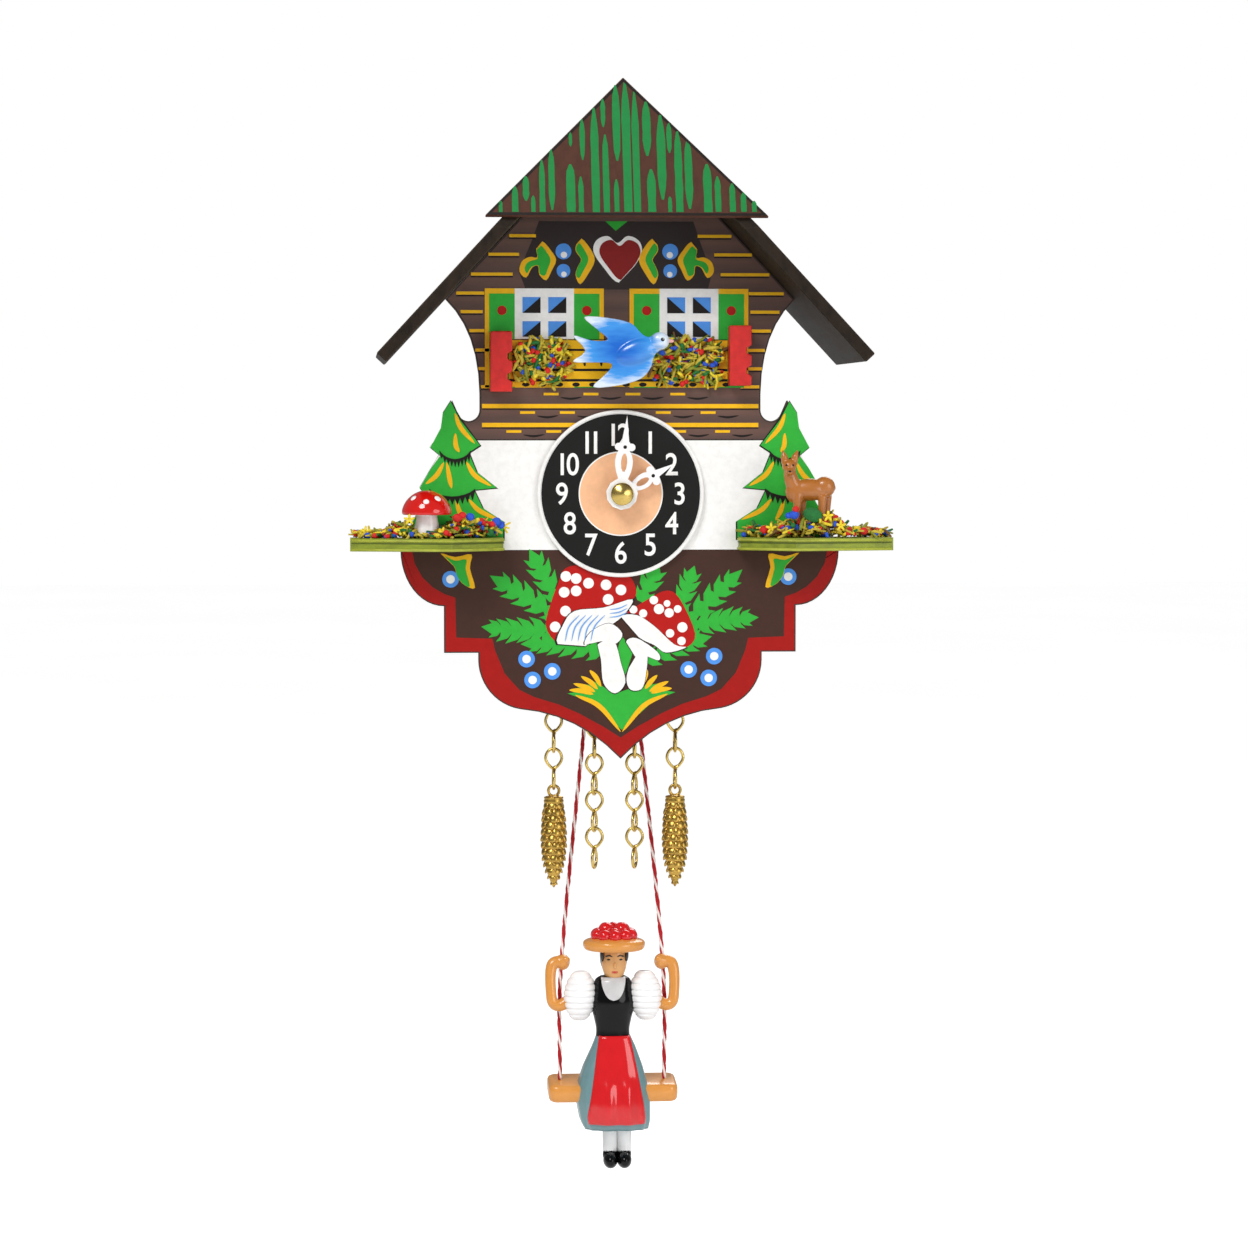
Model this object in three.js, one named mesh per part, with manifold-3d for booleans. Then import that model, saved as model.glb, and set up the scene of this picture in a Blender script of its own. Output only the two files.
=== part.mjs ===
// Miniature Black Forest wall clock with a doll on a swing, in millimetres.
// X is the viewer's right, Y points at the wall, Z is up.
// The origin is the middle of the nail that the clock hangs on, in the wall's plane.
import * as THREE from "three";
import { mergeVertices } from "three/addons/utils/BufferGeometryUtils.js";
import Module from "manifold-3d";

const wasm = await Module();
wasm.setup();

// ---- driving dimensions ----
const GAP = 0.3;
const ROUND = 24;

// case
const FRONT_Y = -32;
const BOARD = 3;
const CASE_FRONT = FRONT_Y + BOARD + GAP;
const CASE_HALF = 31;
const CASE_FLOOR = -88;
const CASE_BOARD = 3;
const BACK_Y = -5.5;
const BACK_T = 2;

// roof
const RIDGE_Z = 47.9;
const EAVE_X = 56.5;
const EAVE_Z = -13;
const ROOF_T = 2.4;
const ROOF_FRONT = -54;
const SLOPE = (RIDGE_Z - EAVE_Z) / EAVE_X;
const SLOPE_ANGLE = Math.atan(SLOPE);
const ROOF_INSIDE = RIDGE_Z - ROOF_T / Math.cos(SLOPE_ANGLE);
const HIP_LEAN = 0.408;
const HIP_FOOT = [0, ROOF_FRONT + 0.6, 17.6];
const HIP_HALF = 32.3;
const HIP_LENGTH = 35.4;
const HIP_T = 1.4;

// dial and hands
const DIAL_Z = -45.3;
const DIAL_R = 19.5;
const MINUTE_ANGLE = 0.067;
const HOUR_ANGLE = Math.PI / 3 + MINUTE_ANGLE / 12;

// movement: arbors as [x, z] and plates as [front, back]
const FRONT_PLATE = [-25.9, -24.9];
const REAR_PLATE = [-9.9, -8.9];
const TOOTH = 0.48;
const WHEEL_TEETH = 42;
const FOURTH_TEETH = 35;
const LEAVES = 7;
const CENTRE = [0, DIAL_Z];
const MESH_A = (WHEEL_TEETH + LEAVES) * TOOTH * 0.5;
const MESH_B = (FOURTH_TEETH + LEAVES) * TOOTH * 0.5;
const BARREL = fromArbor(CENTRE, MESH_A, 150);
const THIRD = fromArbor(CENTRE, MESH_A, 0);
const FOURTH = fromArbor(THIRD, MESH_A, -120);
const ESCAPE = [0, FOURTH[1] - Math.sqrt(MESH_B ** 2 - FOURTH[0] ** 2)];
const ESCAPE_TEETH = 32;
const ESCAPE_R = 6.5;
const ANCHOR = [0, ESCAPE[1] - 9.4];
const MOTION_TOOTH = 0.42;
const CANNON = 12;
const MINUTE_TEETH = 36;
const MINUTE_LEAVES = 10;
const HOUR_TEETH = 40;
const MOTION_MESH = (CANNON + MINUTE_TEETH) * MOTION_TOOTH * 0.5;
const HOUR_TOOTH = (MOTION_MESH * 2) / (MINUTE_LEAVES + HOUR_TEETH);
const MINUTE_WHEEL = fromArbor(CENTRE, MOTION_MESH, 70);
const KEY_Y = -4.6;

// the swing hangs a little left of the middle, and so do the chains
const HANG_X = -1;
const SWING_Y = -17;
const SWING_Z = -82.4;
const ROPE_R = 0.55;
const ROPE_OUT = 12.5;
const SEAT_Z = -187.6;
const SEAT_TILT = 0.1;
const DOLL_Y = -19.5;

// chains
const CHAIN_Y = -25.5;
const CHAIN_X = { outer: 14.35, inner: 4.75 };
const LINK_TOP = { outer: -96.7, inner: -98.1 };
const WIRE = 0.35;
const LINK_PITCH = 8.7;
const LINK_DROP = 2 * WIRE + 0.2;
const LINKS = { outer: 2, inner: 4 };

// ---- colours: [colour, roughness, metalness] ----
const WOOD_DARK = ["#2e2620", 0.6, 0];
const WOOD_PAINT = ["#6a4a38", 0.6, 0];
const ROOF_GREEN = ["#2a8a48", 0.6, 0];
const SHELF_OLIVE = ["#8a9a20", 0.6, 0];
const RED = ["#c01818", 0.4, 0];
const FLOWERS = ["#b8a430", 0.8, 0];
const BIRD_BLUE = ["#3a8ad0", 0.3, 0];
const DEER_TAN = ["#b5702c", 0.4, 0];
const DIAL_BLACK = ["#151515", 0.5, 0];
const WHITE = ["#f2f2f0", 0.4, 0];
const BRASS = ["#c9a54a", 0.35, 1];
const GOLD = ["#b8963c", 0.4, 1];
const STEEL = ["#9a9da0", 0.35, 1];
const ROPE = ["#d8a0a0", 0.8, 0];
const SEAT_TAN = ["#d09030", 0.4, 0];
const DOLL = ["#c02028", 0.4, 0];
const BACK_BLACK = ["#3a2c22", 0.8, 0];

// ---- solids ----
function fromArbor([x, z], distance, degrees) {
  const a = (degrees * Math.PI) / 180;
  return [x + distance * Math.cos(a), z + distance * Math.sin(a)];
}

function solid(geometry) {
  const bare = geometry.clone();
  bare.deleteAttribute("normal");
  bare.deleteAttribute("uv");
  const merged = mergeVertices(bare, 1e-4);
  const mesh = new wasm.Mesh({
    numProp: 3,
    vertProperties: merged.attributes.position.array,
    triVerts: new Uint32Array(merged.index.array),
  });
  return new wasm.Manifold(mesh);
}

const join = (...solids) => wasm.Manifold.union(solids);

const cut = (base, ...tools) => base.subtract(join(...tools));

// A flat outline drawn as (x, z), standing between two depths.
function upright(shape, front, back, curve = 8) {
  const g = new THREE.ExtrudeGeometry(shape, {
    depth: back - front,
    bevelEnabled: false,
    curveSegments: curve,
  });
  return solid(g.rotateX(Math.PI / 2).translate(0, back, 0));
}

// A flat outline drawn as (x, y), lying between two heights.
function lying(shape, bottom, top) {
  const g = new THREE.ExtrudeGeometry(shape, { depth: top - bottom, bevelEnabled: false });
  return solid(g.translate(0, 0, bottom));
}

function block([x0, x1], [y0, y1], [z0, z1]) {
  const g = new THREE.BoxGeometry(x1 - x0, y1 - y0, z1 - z0);
  return solid(g.translate((x0 + x1) / 2, (y0 + y1) / 2, (z0 + z1) / 2));
}

// A round bar along Y, through the arbor [x, z].
function bar([x, z], radius, [front, back], sides = 10) {
  const g = new THREE.CylinderGeometry(radius, radius, back - front, sides);
  return solid(g.translate(x, (front + back) / 2, z));
}

function barAlongX([x0, x1], radius, y, z, sides = 10) {
  const g = new THREE.CylinderGeometry(radius, radius, x1 - x0, sides);
  return solid(g.rotateZ(Math.PI / 2).translate((x0 + x1) / 2, y, z));
}

function barAlongZ([x, y], [z0, z1], low, high = low, sides = 12) {
  const g = new THREE.CylinderGeometry(high, low, z1 - z0, sides);
  return solid(g.rotateX(Math.PI / 2).translate(x, y, (z0 + z1) / 2));
}

function ball([x, y, z], [rx, ry, rz], around = 10, up = 7) {
  const g = new THREE.SphereGeometry(1, around, up);
  return solid(g.rotateX(Math.PI / 2).scale(rx, ry, rz).translate(x, y, z));
}

// A profile of [radius, z] points turned about a vertical line.
function turned(profile, [x, y], sides = 14) {
  const points = profile.map(([r, z]) => new THREE.Vector2(r, z));
  const g = new THREE.LatheGeometry(points, sides);
  return solid(g.rotateX(Math.PI / 2).translate(x, y, 0));
}

// A ring of round wire, standing in the XZ plane or in the YZ plane.
function ring([x, y, z], [wide, tall], wire, sideways) {
  const g = new THREE.TorusGeometry(wide, wire, 5, 10);
  g.scale(1, tall / wide, 1).rotateX(Math.PI / 2);
  if (sideways) g.rotateZ(Math.PI / 2);
  return solid(g.translate(x, y, z));
}

function cordAlong(points, radius, steps = 8, sides = 8) {
  const path = new THREE.CatmullRomCurve3(
    points.map((p) => new THREE.Vector3(...p)),
  );
  const round = new THREE.Shape().absarc(0, 0, radius, 0, Math.PI * 2);
  const g = new THREE.ExtrudeGeometry(round, {
    steps,
    extrudePath: path,
    curveSegments: sides / 2,
  });
  return solid(g);
}

function polygon(points) {
  return new THREE.Shape(points.map(([x, y]) => new THREE.Vector2(x, y)));
}

// The right half of an outline, from top to bottom, closed by its mirror image.
function mirrored(half) {
  const right = half.filter((p, i) => i === 0 || p.distanceTo(half[i - 1]) > 1e-3);
  const left = right
    .filter((p) => p.x > 0.01)
    .map((p) => new THREE.Vector2(-p.x, p.y))
    .reverse();
  return new THREE.Shape([...right, ...left].reverse());
}

const root = new THREE.Group();

function add(name, body, [color, roughness, metalness]) {
  const { vertProperties, triVerts } = body.getMesh();
  const g = new THREE.BufferGeometry();
  g.setAttribute("position", new THREE.BufferAttribute(vertProperties, 3));
  g.setIndex(new THREE.BufferAttribute(triVerts, 1));
  g.computeVertexNormals();
  const look = new THREE.MeshStandardMaterial({ color, roughness, metalness });
  const mesh = new THREE.Mesh(g, look);
  mesh.name = name;
  root.add(mesh);
}

const BOTH = [
  ["left", -1],
  ["right", 1],
];

// ---- case ----
// The painted board: gable, waist, fir trees at both sides, shelf step and curved foot.
function frontBoardShape() {
  const p = new THREE.Path();
  p.moveTo(0, ROOF_INSIDE - 0.6);
  p.lineTo(40.7, ROOF_INSIDE - 0.6 - SLOPE * 40.7);
  p.quadraticCurveTo(33, -7.5, 32.8, -22);
  p.lineTo(32.8, -25.8);
  p.absarc(35.4, -25.8, 2.6, Math.PI, Math.PI * 1.88, false);
  p.lineTo(39.2, -23.6);
  p.lineTo(41.3, -30);
  p.lineTo(44.5, -34.6);
  p.lineTo(42.2, -36);
  p.lineTo(46.9, -43.9);
  p.lineTo(44.9, -45.6);
  p.lineTo(48.7, -52);
  p.lineTo(51.3, -58.5);
  p.absellipse(41.2, -58.5, 10.1, 13, 0, -Math.PI / 2, true);
  p.lineTo(41.2, -82.4);
  p.lineTo(33.2, -82.4);
  p.lineTo(33.2, -84.2);
  p.absarc(21.6, -84.2, 11.6, 0, -Math.PI * 0.444, true);
  p.quadraticCurveTo(10, -96.8, 0, -107.4);
  return mirrored(p.getPoints(6));
}

function frontBoard() {
  const board = upright(frontBoardShape(), FRONT_Y, FRONT_Y + BOARD);
  const arborHole = bar(CENTRE, 3.2, [FRONT_Y - 1, FRONT_Y + BOARD + 1], ROUND);
  return cut(board, arborHole);
}

function caseSide(sign) {
  const inner = CASE_HALF - CASE_BOARD;
  const x = sign > 0 ? [inner, CASE_HALF] : [-CASE_HALF, -inner];
  return block(x, [CASE_FRONT, 0], [CASE_FLOOR, 10]);
}

// Two slots let the ropes swing and four holes take the eyes of the chains.
function bottomBoard() {
  const half = CASE_HALF - CASE_BOARD - GAP;
  const z = [CASE_FLOOR, CASE_FLOOR + CASE_BOARD];
  const through = [z[0] - 1, z[1] + 1];
  const slots = BOTH.map(([, sign]) => {
    const x = HANG_X + sign * 5;
    return block([x - 2.2, x + 2.2], [SWING_Y - 3.5, SWING_Y + 3.5], through);
  });
  const holes = chainPlaces().map(({ x }) => barAlongZ([x, CHAIN_Y], through, 0.6, 0.6, 8));
  return cut(block([-half, half], [CASE_FRONT, -GAP], z), ...slots, ...holes);
}

// The back closes the case up to the gable. Its keyhole slot takes the wall nail.
function backPanel() {
  const half = CASE_HALF - CASE_BOARD - GAP;
  const shape = polygon([
    [-half, CASE_FLOOR + CASE_BOARD + GAP],
    [half, CASE_FLOOR + CASE_BOARD + GAP],
    [half, ROOF_INSIDE - SLOPE * half - 0.6],
    [0, ROOF_INSIDE - 0.6],
    [-half, ROOF_INSIDE - SLOPE * half - 0.6],
  ]);
  const slot = new THREE.Path();
  slot.absarc(0, 0, 1.8, 0, Math.PI, false);
  slot.lineTo(-1.8, -3.2);
  slot.absarc(0, -6, 3.3, Math.PI * 0.68, Math.PI * 2.32, false);
  shape.holes.push(slot);
  const panel = upright(shape, BACK_Y - BACK_T, BACK_Y, 6);
  const keyHole = bar(BARREL, 2.4, [BACK_Y - 3, BACK_Y + 1], ROUND);
  const knobHole = bar(CENTRE, 2, [BACK_Y - 3, BACK_Y + 1], ROUND);
  return cut(panel, keyHole, knobHole);
}

// Everything in front of the leaning plane that the hip rests on.
function hipSpace() {
  const g = new THREE.BoxGeometry(90, 90, 60).translate(0, 20, 30 - GAP);
  return solid(g.rotateX(Math.PI / 2 - HIP_LEAN).translate(...HIP_FOOT));
}

function roofBoard(sign) {
  const eaveIn = [
    EAVE_X - ROOF_T * Math.sin(SLOPE_ANGLE),
    EAVE_Z - ROOF_T * Math.cos(SLOPE_ANGLE),
  ];
  const ridge = GAP / 2;
  const shape = polygon(
    [
      [ridge, RIDGE_Z - SLOPE * ridge],
      [EAVE_X, EAVE_Z],
      eaveIn,
      [ridge, ROOF_INSIDE - SLOPE * ridge],
    ].map(([x, z]) => [sign * x, z]),
  );
  return cut(upright(shape, ROOF_FRONT, 0), hipSpace());
}

function hipPanel() {
  const shape = polygon([
    [-HIP_HALF, 0],
    [HIP_HALF, 0],
    [0, HIP_LENGTH],
  ]);
  const g = new THREE.ExtrudeGeometry(shape, { depth: HIP_T, bevelEnabled: false });
  return solid(g.rotateX(Math.PI / 2 - HIP_LEAN).translate(...HIP_FOOT));
}

function makeCase() {
  add("front_board", frontBoard(), WOOD_PAINT);
  BOTH.forEach(([side, sign]) => {
    add(side + "_side", caseSide(sign), WOOD_DARK);
    add("roof_" + side, roofBoard(sign), WOOD_DARK);
  });
  add("bottom_board", bottomBoard(), WOOD_DARK);
  add("back_panel", backPanel(), BACK_BLACK);
  add("hip_panel", hipPanel(), ROOF_GREEN);
}

// ---- shelves and decoration ----
const SHELF_TOP = -55.4;
const SHELF_T = 3;
const ON_BOARD = FRONT_Y - GAP;

function shelfShape(sign, inset) {
  return polygon(
    [
      [27.6 + inset, ON_BOARD - inset],
      [27.6 + inset, -37.5],
      [39.7, -46 + inset],
      [63 - inset, -40.5 + inset],
      [63 - inset, ON_BOARD - inset],
    ].map(([x, y]) => [sign * x, y]),
  );
}

// Dried bits glued on the shelf, with room for what stands among them.
function shelfFlowers(sign, holes) {
  const bed = lying(shelfShape(sign, 1.2), SHELF_TOP + GAP, SHELF_TOP + 2.2);
  return cut(bed, ...holes);
}

function bracketShape(left, top) {
  const w = 5.1;
  return polygon(
    [
      [0, 0],
      [0, -14],
      [w, -14],
      [w, -11.8],
      [w - 1.1, -11],
      [w - 1.1, -10],
      [w, -9.2],
      [w, -7],
      [w - 1.1, -6.4],
      [w - 1.1, -5.2],
      [w, -4.6],
      [w, 0],
    ].map(([x, z]) => [left + x, top + z]),
  );
}

const MUSHROOM = [-45.3, -39.6];
const MUSHROOM_FOOT = SHELF_TOP + GAP;

function mushroom() {
  return turned(
    [
      [0, MUSHROOM_FOOT],
      [2.9, MUSHROOM_FOOT],
      [2.4, -49.9],
      [5.6, -49.7],
      [5.5, -48],
      [4.3, -45.7],
      [2.2, -44.6],
      [0, -44.3],
    ],
    MUSHROOM,
  );
}

const DEER_Y = -39.6;
const DEER_LEGS = [
  [40.2, -1.1],
  [41.8, 1.1],
  [46.3, -1.1],
  [47.6, 1.1],
];

function deerLegs(radius) {
  const z = [SHELF_TOP + GAP, -46];
  return DEER_LEGS.map(([x, y]) => barAlongZ([x, DEER_Y + y], z, radius, radius + 0.3, 6));
}

function deer() {
  return join(
    ball([43.6, DEER_Y, -44.4], [4.9, 2.2, 2.7], 10, 8),
    ball([47, DEER_Y, -43.6], [2.6, 2.1, 2.4], 8, 6),
    barAlongZ([39.3, DEER_Y - 0.4], [-45, -38], 2, 1.3, 8),
    ball([38.6, DEER_Y - 1.2, -38.4], [1.7, 2.2, 1.6], 8, 6),
    barAlongZ([37.4, DEER_Y - 0.4], [-38, -35], 0.7, 0.25, 6),
    barAlongZ([40, DEER_Y - 0.4], [-38, -35], 0.7, 0.25, 6),
    ...deerLegs(0.5),
  );
}

const BIRD_Y = [-39.6, -37.6];

function swallow() {
  const outline = polygon([
    [11.1, -9.8],
    [8.2, -12.6],
    [6.5, -14],
    [6.5, -16.2],
    [4.4, -18.5],
    [-0.5, -20.1],
    [-6.9, -20.5],
    [-2.2, -15.2],
    [-11.7, -14.6],
    [-8.5, -12.2],
    [-11.5, -8.5],
    [-3.4, -9.8],
    [-8.9, -4.6],
    [-4, -4.6],
    [1.7, -5.7],
    [4.6, -8.7],
    [8.8, -7.7],
  ]);
  return join(
    upright(outline, ...BIRD_Y),
    ball([3.5, -38.6, -12], [6, 1.9, 2.6]),
    bar([2, -12], 0.9, [BIRD_Y[1] - 0.5, ON_BOARD], 8),
  );
}

function makeDecoration() {
  const roomFor = {
    left: [barAlongZ(MUSHROOM, [-60, -40], 3.3)],
    right: deerLegs(0.9),
  };
  BOTH.forEach(([side, sign]) => {
    const bed = shelfFlowers(sign, roomFor[side]);
    add("shelf_" + side, lying(shelfShape(sign, 0), SHELF_TOP - SHELF_T, SHELF_TOP), SHELF_OLIVE);
    add("shelf_flowers_" + side, bed, FLOWERS);
  });
  const brackets = [
    ["left", -30.5, -7.6],
    ["right", 25.1, -6.2],
  ];
  brackets.forEach(([side, x, top]) => {
    add("bracket_" + side, upright(bracketShape(x, top), ON_BOARD - 5, ON_BOARD), RED);
  });
  const flowers = [ON_BOARD - 2.6, ON_BOARD];
  add("window_flowers_left", block([-25, -11.8], flowers, [-20.4, -8.9]), FLOWERS);
  add("window_flowers_right", block([6.8, 24.7], flowers, [-20.2, -8.7]), FLOWERS);
  add("mushroom", mushroom(), RED);
  add("deer", deer(), DEER_TAN);
  add("swallow", swallow(), BIRD_BLUE);
}

// ---- dial and hands ----
const DIAL_Y = [ON_BOARD - 0.8, ON_BOARD];
const HOUR_Y = [-35.6, -34.8];
const MINUTE_Y = [-37.2, -36.4];

function dial() {
  const plate = bar(CENTRE, DIAL_R, DIAL_Y, 48);
  return cut(plate, bar(CENTRE, 2.9, [DIAL_Y[0] - 1, 0], ROUND));
}

// A hand points up from its hub: an open loop, a cross-guard with round lobes, a spear tip.
function handShape(hub, bore, length) {
  const guard = length * 0.6;
  const shape = new THREE.Shape();
  shape.absarc(0, 0, hub, Math.PI * 0.6, Math.PI * 2.4, false);
  shape.quadraticCurveTo(length * 0.16, length * 0.42, 1.1, guard - 0.8);
  shape.absarc(1.5, guard, 0.9, -Math.PI / 2, Math.PI / 2, false);
  shape.lineTo(0.9, guard + 0.9);
  shape.lineTo(0, length);
  shape.lineTo(-0.9, guard + 0.9);
  shape.absarc(-1.5, guard, 0.9, Math.PI / 2, Math.PI * 1.5, false);
  shape.quadraticCurveTo(-length * 0.16, length * 0.42, -hub * 0.31, hub * 0.95);
  const loop = new THREE.Path().absellipse(0, length * 0.4, 0.75, length * 0.12, 0, Math.PI * 2);
  const hole = new THREE.Path().absarc(0, 0, bore, 0, Math.PI * 2);
  shape.holes.push(loop, hole);
  return shape;
}

function hand(hub, bore, length, [front, back], angle) {
  const up = upright(handShape(hub, bore, length), front, back, 5);
  return up.rotate([0, (angle * 180) / Math.PI, 0]).translate([0, 0, DIAL_Z]);
}

function minuteHand() {
  return hand(3.7, 0.85, 18.2, MINUTE_Y, MINUTE_ANGLE);
}

// The hour hand is pushed on the pipe of the hour wheel.
function hourHand() {
  return hand(3.4, 2.5, 14.2, HOUR_Y, HOUR_ANGLE);
}

function handNut() {
  const profile = [
    [0, 0],
    [2.6, 0],
    [2.4, 0.7],
    [0.9, 1.6],
    [0, 1.7],
  ];
  const points = profile.map(([r, y]) => new THREE.Vector2(r, y));
  const g = new THREE.LatheGeometry(points, 12).rotateX(Math.PI);
  const bore = bar(CENTRE, 0.85, [-38.6, -36], 10);
  return cut(solid(g.translate(0, MINUTE_Y[0] - GAP, DIAL_Z)), bore);
}

function makeHands() {
  add("dial", dial(), DIAL_BLACK);
  add("hour_hand", hourHand(), WHITE);
  add("minute_hand", minuteHand(), WHITE);
  add("hand_nut", handNut(), BRASS);
}

// ---- movement ----
// Straight-sided teeth with plenty of backlash. Tooth 0 points along the phase angle.
function gearShape(teeth, size, addendum, dedendum, phase) {
  const pitch = (teeth * size) / 2;
  const step = (Math.PI * 2) / teeth;
  const corners = [
    [-0.25, pitch - dedendum * size],
    [-0.1, pitch + addendum * size],
    [0.1, pitch + addendum * size],
    [0.25, pitch - dedendum * size],
  ];
  const points = [];
  for (let i = 0; i < teeth; i++)
    for (const [share, radius] of corners) {
      const a = phase + (i + share) * step;
      points.push([radius * Math.cos(a), radius * Math.sin(a)]);
    }
  return polygon(points);
}

function gear([x, z], teeth, size, [front, back], phase, form = [0.8, 1.1]) {
  return upright(gearShape(teeth, size, ...form, phase), front, back).translate([x, 0, z]);
}

const towards = (a, b) => Math.atan2(b[1] - a[1], b[0] - a[0]);

// A wheel shows a tooth and its pinion a gap on the line between their arbors.
const wheel = (at, teeth, y, other, size = TOOTH) => gear(at, teeth, size, y, towards(at, other));

function pinion(at, teeth, y, other, size = TOOTH) {
  return gear(at, teeth, size, y, towards(at, other) + Math.PI / teeth, [0.7, 1.15]);
}

const PIVOT = [FRONT_PLATE[0] - 0.2, REAR_PLATE[1] + 0.2];

function arbor(at, radius = 0.7) {
  return bar(at, radius, PIVOT, 8);
}

const PILLARS = [
  [-20.5, -30.8],
  [20.5, -30.8],
  [-20.5, -72.5],
  [20.5, -72.5],
];

const PLATE = { left: -22.5, right: 23.5, bottom: -76, top: -28.3 };

function plate([front, back], bottom, top) {
  const body = block([PLATE.left, PLATE.right], [front, back], [bottom, top]);
  const through = [front - 1, back + 1];
  const pivots = [BARREL, THIRD, FOURTH, ESCAPE, ANCHOR].map((at) => bar(at, 1, through));
  return cut(body, bar(CENTRE, 1.2, through), ...pivots);
}

// The front plate carries the four riveted pillars and the stud of the minute wheel.
function frontPlate() {
  const pillars = PILLARS.map((at) => bar(at, 1.4, [FRONT_PLATE[1] - 0.2, REAR_PLATE[0] - 0.3]));
  const stud = bar(MINUTE_WHEEL, 0.6, [-28.4, FRONT_PLATE[1] - 0.2], 8);
  return join(plate(FRONT_PLATE, PLATE.bottom, PLATE.top), stud, ...pillars);
}

// The rear plate bends forward into two lugs that hold the rod of the swing.
function rearPlate() {
  const lugs = BOTH.map(([, sign]) => {
    const x = HANG_X + sign * 14;
    return block([x - 0.6, x + 0.6], [SWING_Y - 2, REAR_PLATE[1]], [-84.4, -74]);
  });
  const rodHole = barAlongX([-20, 20], 1.15, SWING_Y, SWING_Z, 12);
  return cut(join(plate(REAR_PLATE, PLATE.bottom, PLATE.top), ...lugs), rodHole);
}

const DRUM = [-22.4, -13];
const GREAT_Y = [DRUM[1] - 0.1, DRUM[1] + 0.9];
const DRUM_R = 8.6;

// The great wheel closes the open spring drum.
function barrel() {
  const drum = bar(BARREL, DRUM_R, DRUM, ROUND);
  const room = bar(BARREL, DRUM_R - 0.7, [DRUM[0] + 0.7, DRUM[1] - 0.7], ROUND);
  const slot = block([BARREL[0] - 2, BARREL[0] + 2], [-20, -16], [BARREL[1], BARREL[1] + 12]);
  const teeth = wheel(BARREL, WHEEL_TEETH, GREAT_Y, CENTRE);
  return cut(join(drum, teeth), room, slot, bar(BARREL, 1.4, [-30, 0]));
}

// A flat steel strip wound in a spiral that leaves the arbor and reaches the drum wall.
function mainspring() {
  const turns = 4;
  const inner = 2.3;
  const outer = DRUM_R - 1.6;
  const strip = 0.5;
  const steps = turns * 14;
  const spiral = (offset) =>
    Array.from({ length: steps + 1 }, (_, i) => {
      const a = (i / steps) * turns * Math.PI * 2;
      const r = inner + ((outer - inner) * i) / steps + offset;
      return [BARREL[0] + r * Math.cos(a), BARREL[1] + r * Math.sin(a)];
    });
  const outline = [...spiral(0), ...spiral(strip).reverse()];
  return upright(polygon(outline), DRUM[0] + 1.2, DRUM[1] - 1.2);
}

const RATCHET_TEETH = 16;
const RATCHET_R = 4;
const RATCHET_Y = [REAR_PLATE[0] - 1.5, REAR_PLATE[0] - 0.4];
const CLICK_OFFSET = [7.4, 3.6];
const CLICK_PIVOT = [BARREL[0] + CLICK_OFFSET[0], BARREL[1] + CLICK_OFFSET[1]];

// The barrel arbor with its ratchet wheel and the squared end that the key turns.
function barrelArbor() {
  const points = [];
  for (let i = 0; i < RATCHET_TEETH; i++) {
    const a = (i / RATCHET_TEETH) * Math.PI * 2;
    const next = a + (Math.PI * 2) / RATCHET_TEETH;
    points.push([RATCHET_R * Math.cos(a), RATCHET_R * Math.sin(a)]);
    points.push([(RATCHET_R - 0.8) * Math.cos(next), (RATCHET_R - 0.8) * Math.sin(next)]);
  }
  const ratchet = upright(polygon(points), ...RATCHET_Y).translate([BARREL[0], 0, BARREL[1]]);
  const half = 0.65;
  const square = block(
    [BARREL[0] - half, BARREL[0] + half],
    [REAR_PLATE[1], KEY_Y + 2.4],
    [BARREL[1] - half, BARREL[1] + half],
  );
  const thick = bar(BARREL, 1, [FRONT_PLATE[1] + GAP, DRUM[0]]);
  return join(thick, ratchet, square, arbor(BARREL, 0.85));
}

// The click lies with its nose just clear of the ratchet teeth.
function click() {
  const away = towards(CLICK_PIVOT, BARREL);
  const reach = Math.hypot(...CLICK_OFFSET) - RATCHET_R - 0.25;
  const shape = new THREE.Shape();
  shape.absarc(0, 0, 1.3, Math.PI * 0.3, Math.PI * 1.7, false);
  shape.lineTo(reach, -0.3);
  shape.lineTo(reach, 0.3);
  shape.holes.push(new THREE.Path().absarc(0, 0, 0.5, 0, Math.PI * 2));
  const flat = upright(shape, ...RATCHET_Y, 4);
  const turn = (-away * 180) / Math.PI;
  return flat.rotate([0, turn, 0]).translate([CLICK_PIVOT[0], 0, CLICK_PIVOT[1]]);
}

function windingKey() {
  const at = BARREL;
  const socket = bar(at, 1.9, [KEY_Y - 1, KEY_Y + 3.2], 12);
  const wing = (sign) =>
    bar([at[0] + sign * 3.4, at[1]], 2.6, [KEY_Y + 1.8, KEY_Y + 3.2], 14);
  const square = block([at[0] - 1, at[0] + 1], [-10, KEY_Y + 2.7], [at[1] - 1, at[1] + 1]);
  return cut(join(socket, wing(1), wing(-1)), square);
}

// The centre arbor carries the minute hand, its pinions and wheel, and the setting knob.
function centreWheel() {
  const motion = [-27.4, -26.4];
  return join(
    bar(CENTRE, 1.15, [-27, FRONT_PLATE[0] - 0.3]),
    bar(CENTRE, 0.9, [-27, REAR_PLATE[1] + 1]),
    bar(CENTRE, 0.65, [MINUTE_Y[0] - 1.2, -26.5]),
    pinion(CENTRE, CANNON, motion, MINUTE_WHEEL, MOTION_TOOTH),
    pinion(CENTRE, LEAVES, [-14, -11.3], BARREL),
    wheel(CENTRE, WHEEL_TEETH, [-24.3, -23.6], THIRD),
    bar(CENTRE, 1.4, [REAR_PLATE[1] + 0.6, -4.9], 12),
    bar(CENTRE, 3.2, [-4.9, -2], 16),
  );
}

function thirdWheel() {
  return join(
    arbor(THIRD),
    pinion(THIRD, LEAVES, [-24.6, -22.8], CENTRE),
    wheel(THIRD, WHEEL_TEETH, [-20.3, -19.5], FOURTH),
  );
}

function fourthWheel() {
  return join(
    arbor(FOURTH),
    pinion(FOURTH, LEAVES, [-21, -18.8], THIRD),
    wheel(FOURTH, FOURTH_TEETH, [-16.2, -15.4], ESCAPE),
  );
}

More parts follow.
